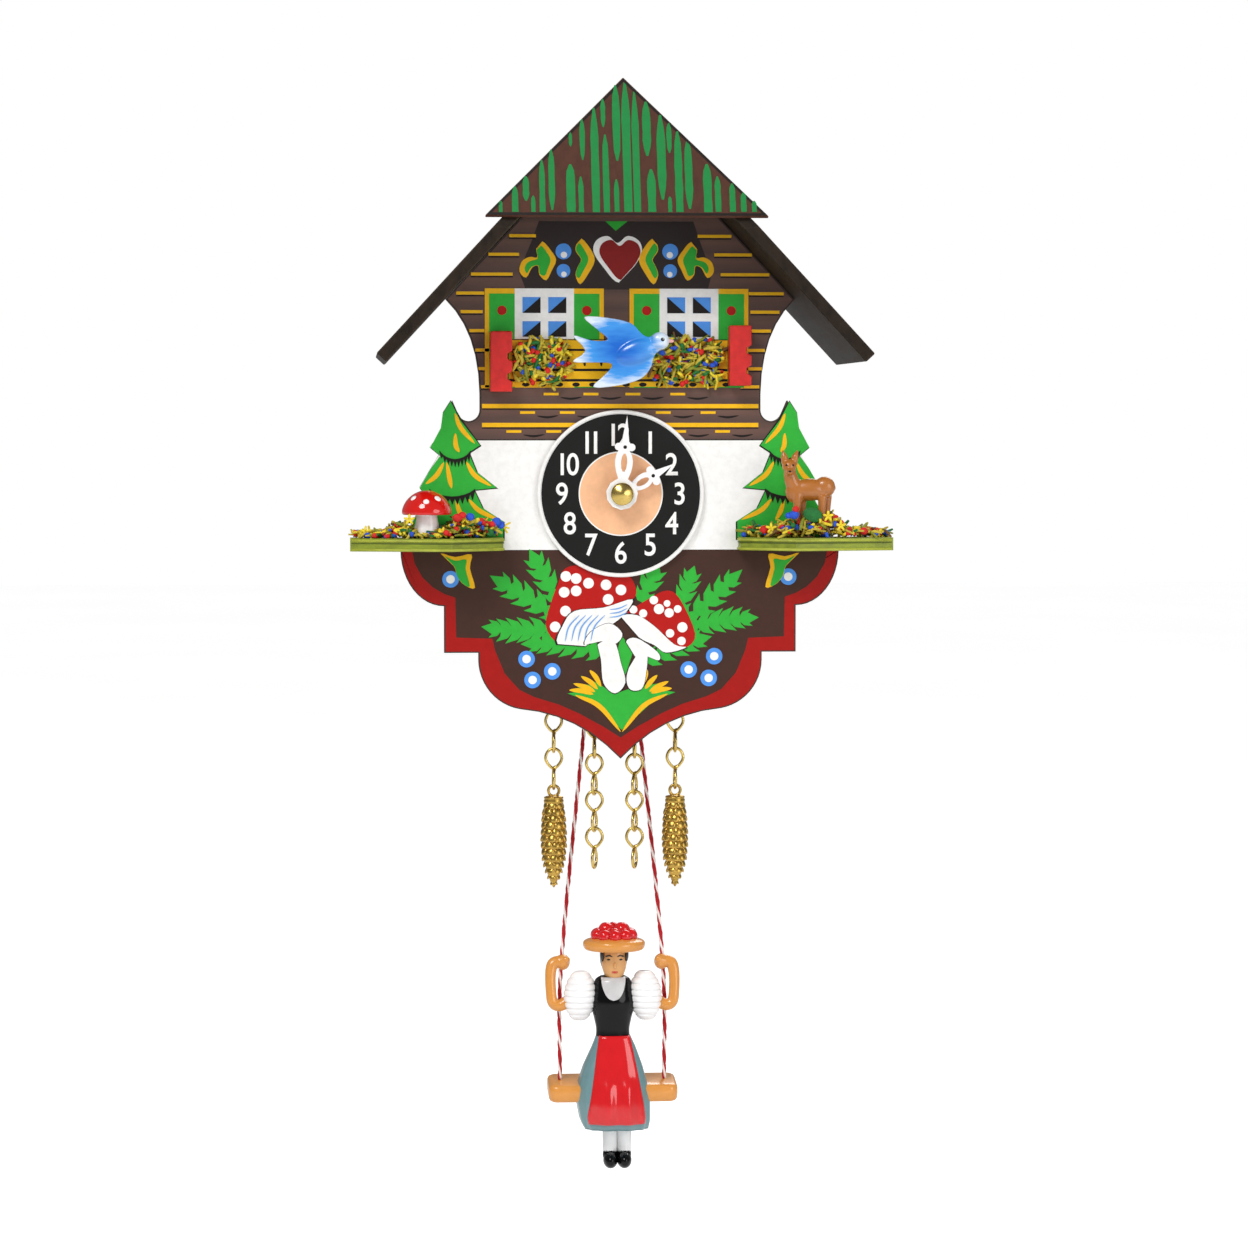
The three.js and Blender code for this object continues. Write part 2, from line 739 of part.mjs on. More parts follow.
function escapeWheel() {
  const points = [];
  for (let i = 0; i < ESCAPE_TEETH; i++) {
    const a = (i / ESCAPE_TEETH) * Math.PI * 2;
    const valley = a + (0.55 * Math.PI * 2) / ESCAPE_TEETH;
    points.push([ESCAPE_R * Math.cos(a), ESCAPE_R * Math.sin(a)]);
    points.push([(ESCAPE_R - 1) * Math.cos(valley), (ESCAPE_R - 1) * Math.sin(valley)]);
  }
  const teeth = upright(polygon(points), -13, -12.3).translate([ESCAPE[0], 0, ESCAPE[1]]);
  return join(arbor(ESCAPE), pinion(ESCAPE, LEAVES, [-17, -14.6], FOURTH), teeth);
}

const PIN_Z = -78.4;

// The anchor reaches over the escape wheel with two pallets and rocks the swing with its pin.
// The pallets stay clear of the wheel at both ends of its travel.
function anchor() {
  const [, z] = ANCHOR;
  const span = 6.3;
  const top = ESCAPE[1] - 1.9;
  const y = [-13, -12.3];
  const arms = polygon([
    [-1.4, z - 1],
    [1.4, z - 1],
    [span + 1, top - 2.6],
    [span + 1.6, top],
    [span + 1, top],
    [span - 0.4, top - 2.9],
    [0, z + 1.3],
    [-span + 0.4, top - 2.9],
    [-span - 1, top],
    [-span - 1.6, top],
    [-span - 1, top - 2.6],
  ]);
  const crutch = block([-0.5, 0.5], [SWING_Y - 0.6, SWING_Y + 0.4], [PIN_Z + 1.3, z]);
  const pin = barAlongZ([0, SWING_Y], [PIN_Z - 1.4, PIN_Z + 1.5], 0.4, 0.4, 8);
  return join(arbor(ANCHOR), upright(arms, ...y), crutch, pin);
}

// ---- motion work ----
function minuteWheel() {
  const body = join(
    wheel(MINUTE_WHEEL, MINUTE_TEETH, [-27.3, -26.5], CENTRE, MOTION_TOOTH),
    pinion(MINUTE_WHEEL, MINUTE_LEAVES, [-28.3, -27.2], CENTRE, HOUR_TOOTH),
  );
  return cut(body, bar(MINUTE_WHEEL, 0.9, [-30, -20]));
}

function hourWheel() {
  const teeth = wheel(CENTRE, HOUR_TEETH, [-28.4, -27.7], MINUTE_WHEEL, HOUR_TOOTH);
  const pipe = bar(CENTRE, 2.2, [HOUR_Y[0] - 0.4, -27.8], 16);
  return cut(join(teeth, pipe), bar(CENTRE, 1.1, [-40, -20], 12));
}

function makeMovement() {
  add("front_plate", frontPlate(), BRASS);
  add("rear_plate", rearPlate(), BRASS);
  add("barrel", barrel(), BRASS);
  add("mainspring", mainspring(), STEEL);
  add("barrel_arbor", barrelArbor(), STEEL);
  add("click", click(), STEEL);
  add("winding_key", windingKey(), BRASS);
  add("centre_wheel", centreWheel(), BRASS);
  add("third_wheel", thirdWheel(), BRASS);
  add("fourth_wheel", fourthWheel(), BRASS);
  add("escape_wheel", escapeWheel(), BRASS);
  add("anchor", anchor(), STEEL);
  add("minute_wheel", minuteWheel(), BRASS);
  add("hour_wheel", hourWheel(), BRASS);
}

// ---- swing ----
// The ropes leave the rod, spread through the doll's fists and end in the seat.
function ropePoints(sign, over = 0) {
  return [
    [HANG_X + sign * 4.8, SWING_Y, SWING_Z - 1.2 + over],
    [HANG_X + sign * 6.8, SWING_Y, -103],
    [HANG_X + sign * 12.1, SWING_Y, -157],
    [HANG_X + sign * ROPE_OUT, SWING_Y, SEAT_Z + 2 - over],
  ];
}

// The rod rocks in its lugs. A lever with an oblique slot takes the anchor's pin.
function swingRod() {
  const plateZ = [PIN_Z - 0.4, PIN_Z + 0.4];
  const slot = block([-0.75, 0.75], [-1.8, 1.8], [-1, 1]).rotate([0, 0, 45]);
  const slotHere = slot.translate([0, SWING_Y, PIN_Z]);
  const pad = cut(block([-2.6, 2.6], [SWING_Y - 2.6, SWING_Y + 2.6], plateZ), slotHere);
  const stem = block([1.4, 2.6], [SWING_Y - 0.5, SWING_Y + 0.5], [SWING_Z, PIN_Z]);
  const foot = barAlongX([HANG_X - 16, HANG_X + 16], 0.8, SWING_Y, SWING_Z, 10);
  return join(pad, stem, foot);
}

function seatBoard() {
  const board = block([-15.4, 15.4], [-6.2, 6.2], [-2.1, 2.1]);
  const tilted = board.rotate([(SEAT_TILT * 180) / Math.PI, 0, 0]);
  return tilted.translate([HANG_X, SWING_Y, SEAT_Z]);
}

function ropeHoles() {
  return BOTH.map(([, sign]) => cordAlong(ropePoints(sign, 1.5), ROPE_R + GAP, 12));
}

// Skirt, as rings of [z, half width] around the doll's middle.
function skirt(grow) {
  const rows = [
    [-174.4, 5.1],
    [-181, 6.6],
    [-189, 8.3],
    [-196.6, 9.3],
  ];
  const profile = [
    [0, rows[3][0] - grow],
    ...rows.map(([z, r]) => [r + grow, z - (z < -190 ? grow : 0)]).reverse(),
    [0, rows[0][0]],
  ];
  return turned(profile, [0, 0], 16).scale([1, 0.72, 1]).translate([HANG_X, DOLL_Y, 0]);
}

function arm(sign) {
  const x = (d) => HANG_X + sign * d;
  return join(
    ball([x(9), DOLL_Y, -165], [3.9, 3.4, 5.6], 8, 6),
    cordAlong(
      [
        [x(10), DOLL_Y, -168.4],
        [x(14.4), DOLL_Y, -168],
        [x(15), DOLL_Y + 0.6, -162],
        [x(14.2), SWING_Y - 0.5, -158],
      ],
      1.35,
      5,
      6,
    ),
    ball([x(12.3), SWING_Y, -157.2], [2.2, 2, 2.1], 6, 5),
  );
}

// Brim and pompoms of the hat, as [radius, z].
const HAT = [
  [0, -155.6],
  [7.2, -154.6],
  [7.3, -153.4],
  [4.8, -152.2],
  [4.4, -149],
  [0, -147.4],
];

function doll() {
  const at = [HANG_X, DOLL_Y];
  const body = join(
    skirt(0),
    barAlongZ(at, [-175, -165], 4.3, 5.4, 10),
    ball([...at, -165.4], [5.4, 3.6, 3.4], 10, 6),
    ball([...at, -158], [3.4, 3.3, 4.6], 10, 7),
    turned(HAT, at, 12),
    barAlongZ(at, [-204, -196], 3.2, 3.2, 8),
    ball([HANG_X, DOLL_Y - 1, -204.4], [3.6, 4, 3], 8, 6),
    arm(-1),
    arm(1),
  );
  return cut(body, ...ropeHoles());
}

function makeSwing() {
  add("swing_rod", swingRod(), STEEL);
  BOTH.forEach(([side, sign]) => {
    add("rope_" + side, cordAlong(ropePoints(sign), ROPE_R, 12), ROPE);
  });
  const bore = BOTH.map(([, sign]) => {
    const at = [HANG_X + sign * ROPE_OUT, SWING_Y];
    return barAlongZ(at, [SEAT_Z - 5, SEAT_Z + 7], ROPE_R + 0.35);
  });
  add("swing_seat", cut(seatBoard(), skirt(GAP), ...bore), SEAT_TAN);
  add("doll", doll(), DOLL);
}

// ---- chains ----
function chainPlaces() {
  return ["outer", "inner"].flatMap((row) =>
    BOTH.map(([side, sign]) => ({
      name: row + "_" + side,
      x: HANG_X + sign * CHAIN_X[row],
      top: LINK_TOP[row],
      links: LINKS[row],
      cone: row === "outer",
    })),
  );
}

const LOOP = [1.92, 2.35];

// A figure-of-eight link: its upper loop faces the viewer, its lower loop is edge-on.
function link(x, top) {
  const foot = top - LINK_PITCH - LINK_DROP;
  return join(
    ring([x, CHAIN_Y, top - LOOP[1]], LOOP, WIRE, false),
    ring([x, CHAIN_Y, foot + LOOP[1]], LOOP, WIRE, true),
  );
}

// A wire eye: a shank up through the case floor and an edge-on ring under it.
function chainEye(x, top) {
  const ringAt = top - LINK_DROP + LOOP[0];
  return join(
    ring([x, CHAIN_Y, ringAt], [LOOP[0], LOOP[0]], WIRE, true),
    barAlongZ([x, CHAIN_Y], [ringAt + LOOP[0], -85.4], WIRE, WIRE, 6),
  );
}

// A fir cone on a small eye.
function cone(x, top) {
  const profile = [
    [0, -24.3],
    [0.9, -23.4],
    [2.4, -19],
    [3.1, -13.5],
    [2.9, -8],
    [1.8, -4.1],
    [2.1, -4],
    [2.1, -2.7],
    [0, -2.7],
  ];
  const body = turned(
    profile.map(([r, z]) => [r, top + z]),
    [x, CHAIN_Y],
    12,
  );
  return join(body, ring([x, CHAIN_Y, top - 1.25], [1.25, 1.25], WIRE, false));
}

function makeChains() {
  for (const { name, x, top, links, cone: hasCone } of chainPlaces()) {
    add("chain_eye_" + name, chainEye(x, top), BRASS);
    for (let i = 0; i < links; i++) {
      add("link_" + name + "_" + (i + 1), link(x, top - i * LINK_PITCH), BRASS);
    }
    if (hasCone) add("fir_cone_" + name, cone(x, top - links * LINK_PITCH), GOLD);
  }
}

makeCase();
makeDecoration();
makeHands();
makeMovement();
makeSwing();
makeChains();

export default root;
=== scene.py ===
# Looks of the miniature Black Forest clock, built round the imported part. Lengths are in millimetres
# until a mesh is made, X is the viewer's right, Y points at the wall and Z is up.
import math
import random

import bmesh
import bpy
from mathutils import Matrix, Vector
from mathutils.geometry import tessellate_polygon


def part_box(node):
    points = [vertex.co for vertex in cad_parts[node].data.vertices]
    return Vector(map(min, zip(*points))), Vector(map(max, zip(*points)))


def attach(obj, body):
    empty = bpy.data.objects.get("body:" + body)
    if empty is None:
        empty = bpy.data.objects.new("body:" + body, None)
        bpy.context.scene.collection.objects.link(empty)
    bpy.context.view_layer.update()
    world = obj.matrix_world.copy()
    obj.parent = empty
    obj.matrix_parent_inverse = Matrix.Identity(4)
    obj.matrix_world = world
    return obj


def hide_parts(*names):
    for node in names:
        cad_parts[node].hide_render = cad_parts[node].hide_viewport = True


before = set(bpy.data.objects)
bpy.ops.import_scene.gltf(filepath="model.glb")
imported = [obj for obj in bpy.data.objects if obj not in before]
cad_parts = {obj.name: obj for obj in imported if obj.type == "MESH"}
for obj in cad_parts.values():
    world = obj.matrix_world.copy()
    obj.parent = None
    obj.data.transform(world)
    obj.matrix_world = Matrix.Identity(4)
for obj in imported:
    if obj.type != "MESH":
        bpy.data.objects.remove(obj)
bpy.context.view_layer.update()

MM = 0.001
TAU = math.tau
BOTH = (("left", -1), ("right", 1))


def box_mm(node):
    """The low and high corners of a frame node's box, in millimetres."""
    low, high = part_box(node)
    return low / MM, high / MM


# places that the frame gives, then those of the swing and its doll
BOARD_FRONT = box_mm("front_board")[0].y
DIAL_LOW, DIAL_HIGH = box_mm("dial")
DIAL_Z = (DIAL_LOW.z + DIAL_HIGH.z) / 2
SHELF_TOP = box_mm("shelf_left")[1].z
SWING_Y = -17.0
HANG_X = -1.0
DOLL_Y = -19.5


# ---- camera, light and floor ----
def make_camera():
    data = bpy.data.cameras.new("camera")
    data.lens = 111.0
    data.sensor_width = 36.0
    cam = bpy.data.objects.new("camera", data)
    bpy.context.scene.collection.objects.link(cam)
    place = Vector((-61.876, -928.577, -28.681)) * MM
    target = Vector((0.8187, -32.0, -75.7836)) * MM
    cam.location = place
    cam.rotation_mode = "QUATERNION"
    cam.rotation_quaternion = (target - place).to_track_quat("-Z", "Y")
    bpy.context.scene.camera = cam


def area_light(name, place, target, size, power):
    data = bpy.data.lights.new(name, "AREA")
    data.shape = "DISK"
    data.size = size
    data.energy = power
    lamp = bpy.data.objects.new(name, data)
    bpy.context.scene.collection.objects.link(lamp)
    lamp.location = place
    lamp.rotation_mode = "QUATERNION"
    lamp.rotation_quaternion = (Vector(target) - Vector(place)).to_track_quat("-Z", "Y")


# the world's strength for diffuse light, and what is added to it for glossy and for camera rays
SKY, SKY_IN_GLOSS, SKY_SEEN = 0.56, -0.36, 0.44
FLOOR_SEEN = 0.5
FLOOR_Z, FLOOR_HALF = -0.32, 6.0


def for_rays(tree, kind, amount, rest):
    """The rest, and the amount on top of it for one kind of ray."""
    is_kind = node(tree, "LightPath").outputs[kind]
    return node(tree, "Math", {0: is_kind, 1: amount, 2: rest}, operation="MULTIPLY_ADD").outputs["Value"]


def make_world():
    world = bpy.data.worlds.new("studio")
    world.use_nodes = True
    tree = world.node_tree
    sky = tree.nodes["Background"]
    sky.inputs["Color"].default_value = (1, 1, 1, 1)
    level = for_rays(tree, "Is Glossy Ray", SKY_IN_GLOSS, SKY)
    tree.links.new(for_rays(tree, "Is Camera Ray", SKY_SEEN, level), sky.inputs["Strength"])
    return world


def make_stage():
    """Plain studio light and a pale floor, which also glows a little for the camera's own rays."""
    scene = bpy.context.scene
    scene.view_settings.view_transform = "Standard"
    scene.world = make_world()
    middle = (0, 0, -0.07)
    area_light("key", (-0.45, -0.75, 0.75), middle, 0.45, 7.0)
    area_light("fill", (0.7, -0.8, 0.1), middle, 0.6, 2.8)
    area_light("back", (0.3, 0.8, 0.5), middle, 0.6, 3.0)
    bm = bmesh.new()
    bmesh.ops.create_grid(bm, x_segments=1, y_segments=1, size=FLOOR_HALF)
    bmesh.ops.translate(bm, verts=bm.verts, vec=(0, 0, FLOOR_Z))
    mesh = bpy.data.meshes.new("floor")
    bm.to_mesh(mesh)
    bm.free()
    floor = bpy.data.objects.new("floor", mesh)
    scene.collection.objects.link(floor)
    pale = finish("floor_pale", (0.93, 0.93, 0.93), 0.9, speckle=(3, 0.02))
    tree = pale.node_tree
    shader = tree.nodes["Principled BSDF"]
    shader.inputs["Emission Color"].default_value = (1, 1, 1, 1)
    tree.links.new(for_rays(tree, "Is Camera Ray", FLOOR_SEEN, 0.0), shader.inputs["Emission Strength"])
    floor.data.materials.append(pale)


# ---- materials ----
def node(tree, kind, inputs=None, **settings):
    """A shader node. An input is given as a value, or as the output of another node."""
    made = tree.nodes.new("ShaderNode" + kind)
    for name, value in settings.items():
        setattr(made, name, value)
    for key, value in (inputs or {}).items():
        if isinstance(value, bpy.types.NodeSocket):
            tree.links.new(value, made.inputs[key])
        else:
            made.inputs[key].default_value = value
    return made


def noise(tree, scale, detail, place=None, roughness=0.5):
    inputs = {"Scale": scale, "Detail": detail, "Roughness": roughness}
    if place is not None:
        inputs["Vector"] = place
    return node(tree, "TexNoise", inputs).outputs["Fac"]


def mapped(tree, inputs, **settings):
    """The object's coordinates, moved, turned or stretched."""
    coords = node(tree, "TexCoord").outputs["Object"]
    return node(tree, "Mapping", {"Vector": coords, **inputs}, **settings).outputs[0]


def mixed(tree, factor, colour, other):
    mix = node(tree, "Mix", {"Factor": factor, 6: colour, 7: (*hex_colour(other), 1)}, data_type="RGBA")
    return mix.outputs[2]


def hex_colour(text):
    """A display colour such as "#c01818", as the linear values that a shader takes."""
    parts = [int(text[i:i + 2], 16) / 255 for i in (1, 3, 5)]
    return tuple(c / 12.92 if c < 0.04045 else ((c + 0.055) / 1.055) ** 2.4 for c in parts)


def ramp(tree, factor, stops):
    """The colour at a factor along stops of (place, colour)."""
    made = node(tree, "ValToRGB", {"Fac": factor})
    points = made.color_ramp.elements
    while len(points) < len(stops):
        points.new(0.5)
    for point, (where, colour) in zip(points, stops):
        point.position = where
        point.color = (*colour, 1)
    return made.outputs["Color"]


def shade(colour, factor):
    return tuple(min(1, c * factor) for c in colour)


def finish(name, colour, rough, metal=0.0, coat=0.0, speckle=(900, 0.12), bump=(1400, 0.04),
           grain=None, wear=None, shine=0.5):
    """A procedural finish: blotches of colour, grain along an axis, roughness, bump and worn edges."""
    if isinstance(colour, str):
        colour = hex_colour(colour)
    mat = bpy.data.materials.new(name)
    mat.use_nodes = True
    tree = mat.node_tree
    shader = tree.nodes["Principled BSDF"]
    for socket, value in (("Metallic", metal), ("Coat Weight", coat), ("Coat Roughness", 0.08),
                          ("Specular IOR Level", shine)):
        shader.inputs[socket].default_value = value
    place = mapped(tree, {"Scale": grain or (1, 1, 1)})
    scale, amount = speckle
    blotch = noise(tree, scale, 6.0, place, 0.65)
    stops = [(0.3, shade(colour, 1 - amount)), (0.5, colour), (0.72, shade(colour, 1 + amount))]
    base = ramp(tree, blotch, stops)
    if wear:
        base = worn_edges(tree, base, *wear)
    gloss = node(tree, "MapRange", {"Value": blotch, "To Min": rough * 0.85, "To Max": min(1, rough * 1.2)})
    fine_scale, height = bump
    relief = node(tree, "Bump", {"Height": noise(tree, fine_scale, 4.0, place),
                                 "Strength": min(1.0, height * 4), "Distance": height * MM})
    for socket, source in (("Base Color", base), ("Roughness", gloss.outputs["Result"]),
                           ("Normal", relief.outputs["Normal"])):
        tree.links.new(source, shader.inputs[socket])
    return mat


def worn_edges(tree, colour, edge_colour, radius):
    """Mixes in edge_colour where the surface turns within the radius, broken up by noise."""
    soft = node(tree, "Bevel", {"Radius": radius * MM}, samples=4).outputs["Normal"]
    flat = node(tree, "NewGeometry").outputs["Normal"]
    turn = node(tree, "VectorMath", {0: soft, 1: flat}, operation="DOT_PRODUCT").outputs["Value"]
    mask = node(tree, "MapRange", {"Value": turn, "From Min": 0.99, "From Max": 0.8}).outputs["Result"]
    broken = node(tree, "Math", {0: mask, 1: noise(tree, 700.0, 3.0)}, operation="MULTIPLY")
    return mixed(tree, broken.outputs["Value"], colour, edge_colour)


def paint(name, colour, rough=0.45):
    return finish(name, colour, rough, speckle=(500, 0.07), bump=(2600, 0.015), shine=0.25)


def plastic(name, colour, rough=0.22):
    return finish(name, colour, rough, coat=0.5, speckle=(350, 0.06), bump=(500, 0.02))


# ---- mesh code ----
def piece(name, bm, materials, body, replaces=(), smooth=True):
    """Makes an object of a mesh in millimetres, gives it its materials and puts it on its body."""
    bmesh.ops.scale(bm, vec=(MM, MM, MM), verts=bm.verts)
    mesh = bpy.data.meshes.new(name)
    bm.to_mesh(mesh)
    bm.free()
    if smooth:
        mesh.polygons.foreach_set("use_smooth", [True] * len(mesh.polygons))
    made = bpy.data.objects.new(name, mesh)
    bpy.context.scene.collection.objects.link(made)
    for mat in materials:
        mesh.materials.append(mat)
    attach(made, body)
    if replaces:
        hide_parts(*replaces)
    return made


def spline(a, b, c, d, t):
    """The place at a share t of the way from b to c, on a smooth curve through all four."""
    return 0.5 * (2 * b + (c - a) * t + (2 * a - 5 * b + 4 * c - d) * t * t
                  + (3 * b - a - 3 * c + d) * t ** 3)


def catmull(points, steps):
    """Points along a smooth curve through the given points."""
    pts = [Vector(p) for p in points]
    pts = [2 * pts[0] - pts[1], *pts, 2 * pts[-1] - pts[-2]]
    spans = zip(pts, pts[1:], pts[2:], pts[3:])
    return [*(spline(*span, i / steps) for span in spans for i in range(steps)), pts[-2]]


def between(table, at):
    """A table's values at a place in its first column, in straight lines from row to row."""
    for low, high in zip(table, table[1:]):
        if at <= high[0]:
            t = (at - low[0]) / (high[0] - low[0])
            return [u + (v - u) * t for u, v in zip(low[1:], high[1:])]
    return list(table[-1][1:])


def tube(bm, path, radius, sides=12, mat=0, closed=False):
    """A round tube along a path. The radius is a number, or a function of the share of the length."""
    path = [Vector(p) for p in path]
    count = len(path)
    rings = []
    side = None
    for i, p in enumerate(path):
        ahead = path[(i + 1) % count] if closed else path[min(i + 1, count - 1)]
        behind = path[i - 1] if (closed or i) else path[0]
        along = (ahead - behind).normalized()
        if side is None:
            side = along.orthogonal()
        side = (side - along * side.dot(along)).normalized()
        other = along.cross(side)
        r = radius(i / (count - 1)) if callable(radius) else radius
        rings.append([bm.verts.new(p + (side * math.cos(a) + other * math.sin(a)) * r)
                      for a in (TAU * k / sides for k in range(sides))])
    for i in range(count if closed else count - 1):
        bridge(bm, rings[i], rings[(i + 1) % count], mat)
    if not closed:
        bm.faces.new(rings[0][::-1]).material_index = mat
        bm.faces.new(rings[-1]).material_index = mat


def bridge(bm, low, high, mat):
    count = len(low)
    for k in range(count):
        face = bm.faces.new((low[k], low[(k + 1) % count], high[(k + 1) % count], high[k]))
        face.material_index = mat


def loft(bm, rings, around=32, mat=0):
    """A closed skin over level oval rings, each (z, x, y, half width, half depth)."""
    made = []
    for z, x, y, rx, ry in rings:
        made.append([bm.verts.new((x + rx * math.cos(a), y + ry * math.sin(a), z))
                     for a in (TAU * k / around for k in range(around))])
    for low, high in zip(made, made[1:]):
        bridge(bm, low, high, mat)
    bm.faces.new(made[0][::-1]).material_index = mat
    bm.faces.new(made[-1]).material_index = mat


def smooth_rows(rows, steps=5):
    """More rows between the given ones, along smooth curves."""
    padded = [rows[0], *rows, rows[-1]]
    spans = list(zip(padded, padded[1:], padded[2:], padded[3:]))
    return [*(tuple(spline(*column, i / steps) for column in zip(*span))
              for span in spans for i in range(steps)), rows[-1]]


def turned(bm, x, y, profile, around, steps=4, squash=1.0):
    """A lathe-turned body of (height, radius) rows. With 1 step the rows stay as they are."""
    loft(bm, [(z, x, y, r, r * squash) for z, r in smooth_rows(profile, steps)], around)


def blob(bm, centre, radii, mat=0, detail=3, turn=None):
    """An oval body with even triangles."""
    made = bmesh.ops.create_icosphere(bm, subdivisions=detail, radius=1.0)["verts"]
    matrix = Matrix.Translation(centre) @ (turn or Matrix.Identity(4)) @ Matrix.Diagonal((*radii, 1))
    bmesh.ops.transform(bm, matrix=matrix, verts=made)
    for face in {f for v in made for f in v.link_faces}:
        face.material_index = mat


def plate(bm, outline, back, thick, mat=0, holes=()):
    """A flat shape of (x, z) points standing at depth back, with its face towards the viewer."""
    loops = [[Vector((x, z, 0)) for x, z in loop] for loop in (outline, *holes)]
    flat = [p for loop in loops for p in loop]
    front_verts = [bm.verts.new((p.x, back - thick, p.y)) for p in flat]
    back_verts = [bm.verts.new((p.x, back, p.y)) for p in flat]
    for a, b, c in tessellate_polygon(loops):
        normal = (flat[b] - flat[a]).cross(flat[c] - flat[a]).z
        order = (a, b, c) if normal > 0 else (c, b, a)
        for verts, corners in ((front_verts, order), (back_verts, order[::-1])):
            bm.faces.new([verts[i] for i in corners]).material_index = mat
    start = 0
    for loop in loops:
        count = len(loop)
        for k in range(count):
            i, j = start + k, start + (k + 1) % count
            bm.faces.new((front_verts[i], front_verts[j], back_verts[j], back_verts[i]))\
                .material_index = mat
        start += count


def flipped(points):
    return [(-x, z) for x, z in points][::-1]


def oval(x, z, rx, rz=None, count=28):
    rz = rz or rx
    return [(x + rx * math.cos(TAU * k / count), z + rz * math.sin(TAU * k / count))
            for k in range(count)]


def rect(x0, z0, x1, z1):
    return [(x0, z0), (x1, z0), (x1, z1), (x0, z1)]


def curved(points, steps=5):
    """A closed smooth outline through the given corners."""
    pts = [Vector((x, z, 0)) for x, z in points]
    loop = catmull([pts[-1], *pts, pts[0], pts[1]], steps)
    return [(p.x, p.y) for p in loop[steps:-2 * steps]]


def brush(points, width, steps=6):
    """A painted stroke: full in the middle and thin at both ends."""
    line = [p.to_2d() for p in catmull([(x, z, 0) for x, z in points], steps)]
    left, right = [], []
    for i, p in enumerate(line):
        along = (line[min(i + 1, len(line) - 1)] - line[max(i - 1, 0)]).normalized()
        share = i / (len(line) - 1)
        half = width / 2 * (0.12 + 0.88 * math.sin(math.pi * share) ** 0.6)
        across = Vector((-along.y, along.x)) * half
        left.append(tuple(p + across))
        right.append(tuple(p - across))
    return left + right[::-1]


# ---- ropes ----
# The route of each rope, the same points as the part's, from the rod to the seat.
ROPE_POINTS = ((4.8, -83.6), (6.8, -103.0), (12.1, -157.0), (12.5, -185.6))
ROPE_R = 0.55
ROPE_TURN = 7.5


def twisted_rope(name, sign, finishes):
    """Three strands laid round each other, two dyed red and one left white."""
    line = catmull([(HANG_X + sign * x, SWING_Y, z) for x, z in ROPE_POINTS], 36)
    strand = ROPE_R * 0.52
    bm = bmesh.new()
    for number in range(3):
        travelled = 0.0
        path = []
        for i, p in enumerate(line):
            travelled += (p - line[i - 1]).length if i else 0.0
            a = TAU * (travelled / ROPE_TURN + number / 3)
            path.append(p + Vector((math.cos(a), math.sin(a), 0)) * (ROPE_R - strand))
        tube(bm, path, strand, 8, 0 if number == 1 else 1)
    rope = piece(name + "_twisted", bm, finishes, "swing", [name])


make_camera()
make_stage()
rope_red = finish("rope_red", "#b3101c", 0.85, speckle=(2500, 0.2), bump=(5000, 0.05))
rope_white = finish("rope_white", "#f0e6e2", 0.85, speckle=(2500, 0.1), bump=(5000, 0.05))
for side_name, side_sign in BOTH:
    twisted_rope("rope_" + side_name, side_sign, (rope_white, rope_red))


# ---- finishes ----
WOOD_GRAIN = (1, 1, 0.12)
FINISH = {
    "dark_wood": finish("dark_wood", "#241a11", 0.6, shine=0.2, speckle=(420, 0.5), bump=(1500, 0.12),
                        grain=(1, 0.25, 0.5), wear=("#8a7a62", 0.35)),
    "board_edge": finish("board_edge", "#33241c", 0.6, speckle=(600, 0.35), bump=(1800, 0.1),
                         grain=WOOD_GRAIN, wear=("#5c4636", 0.2)),
    "inner_wood": finish("inner_wood", "#8a6a48", 0.7, speckle=(500, 0.3), bump=(1500, 0.12),
                         grain=WOOD_GRAIN, wear=("#b39a78", 0.3)),
    "back_board": finish("back_board", "#5a4230", 0.8, speckle=(1500, 0.3), bump=(2500, 0.1),
                         wear=("#86705a", 0.3)),
    "hip_brown": finish("hip_brown", "#4f2f23", 0.6, shine=0.2, speckle=(700, 0.16), bump=(1700, 0.05),
                        grain=(1, 1, 0.2), wear=("#2a1c16", 0.25)),
    "olive": finish("olive", "#7d8a1c", 0.5, speckle=(600, 0.35), bump=(1300, 0.08),
                    grain=(0.2, 1, 1), wear=("#b9c04c", 0.3)),
    "red_wood": finish("red_wood", "#c81a16", 0.45, speckle=(500, 0.18), bump=(1500, 0.08),
                       wear=("#e4584a", 0.35)),
    "brass": finish("brass", "#dcbe6c", 0.26, metal=1.0, speckle=(300, 0.16), bump=(2500, 0.02)),
    "plate_brass": finish("plate_brass", "#c8a24c", 0.34, metal=1.0, speckle=(200, 0.2),
                          bump=(3000, 0.02), grain=(1, 1, 0.15), wear=("#e8cf8a", 0.15)),
    "steel": finish("steel", "#a4a7ab", 0.3, metal=1.0, speckle=(300, 0.15), bump=(2500, 0.02),
                    grain=(1, 0.2, 1)),
    "old_gold": finish("old_gold", "#caa552", 0.33, metal=1.0, speckle=(450, 0.35),
                       bump=(1200, 0.06), wear=("#e6cf8c", 0.25)),
    "white_plastic": plastic("white_plastic", "#f4f3f2", 0.3),
}
for paint_name, colour, rough in (
        ("white_paint", "#f1f0ed", 0.45), ("ground_brown", "#42281f", 0.55), ("border_red", "#a20c05", 0.45),
        ("leaf_green", "#2fae38", 0.45), ("yellow_paint", "#f0b714", 0.45), ("berry_blue", "#4f93e6", 0.45),
        ("line_dark", "#1d1714", 0.45), ("heart_red", "#8a1a18", 0.45), ("cap_red", "#b30f08", 0.45),
        ("dial_black", "#131412", 0.5), ("peach", "#f0b98e", 0.45), ("gill_blue", "#6ea4e0", 0.45),
        ("shadow_panel", "#322a28", 0.6)):
    FINISH[paint_name] = paint(paint_name, colour, rough)


# ---- carried-over frame nodes ----
SAME_PLACE = 0.00001


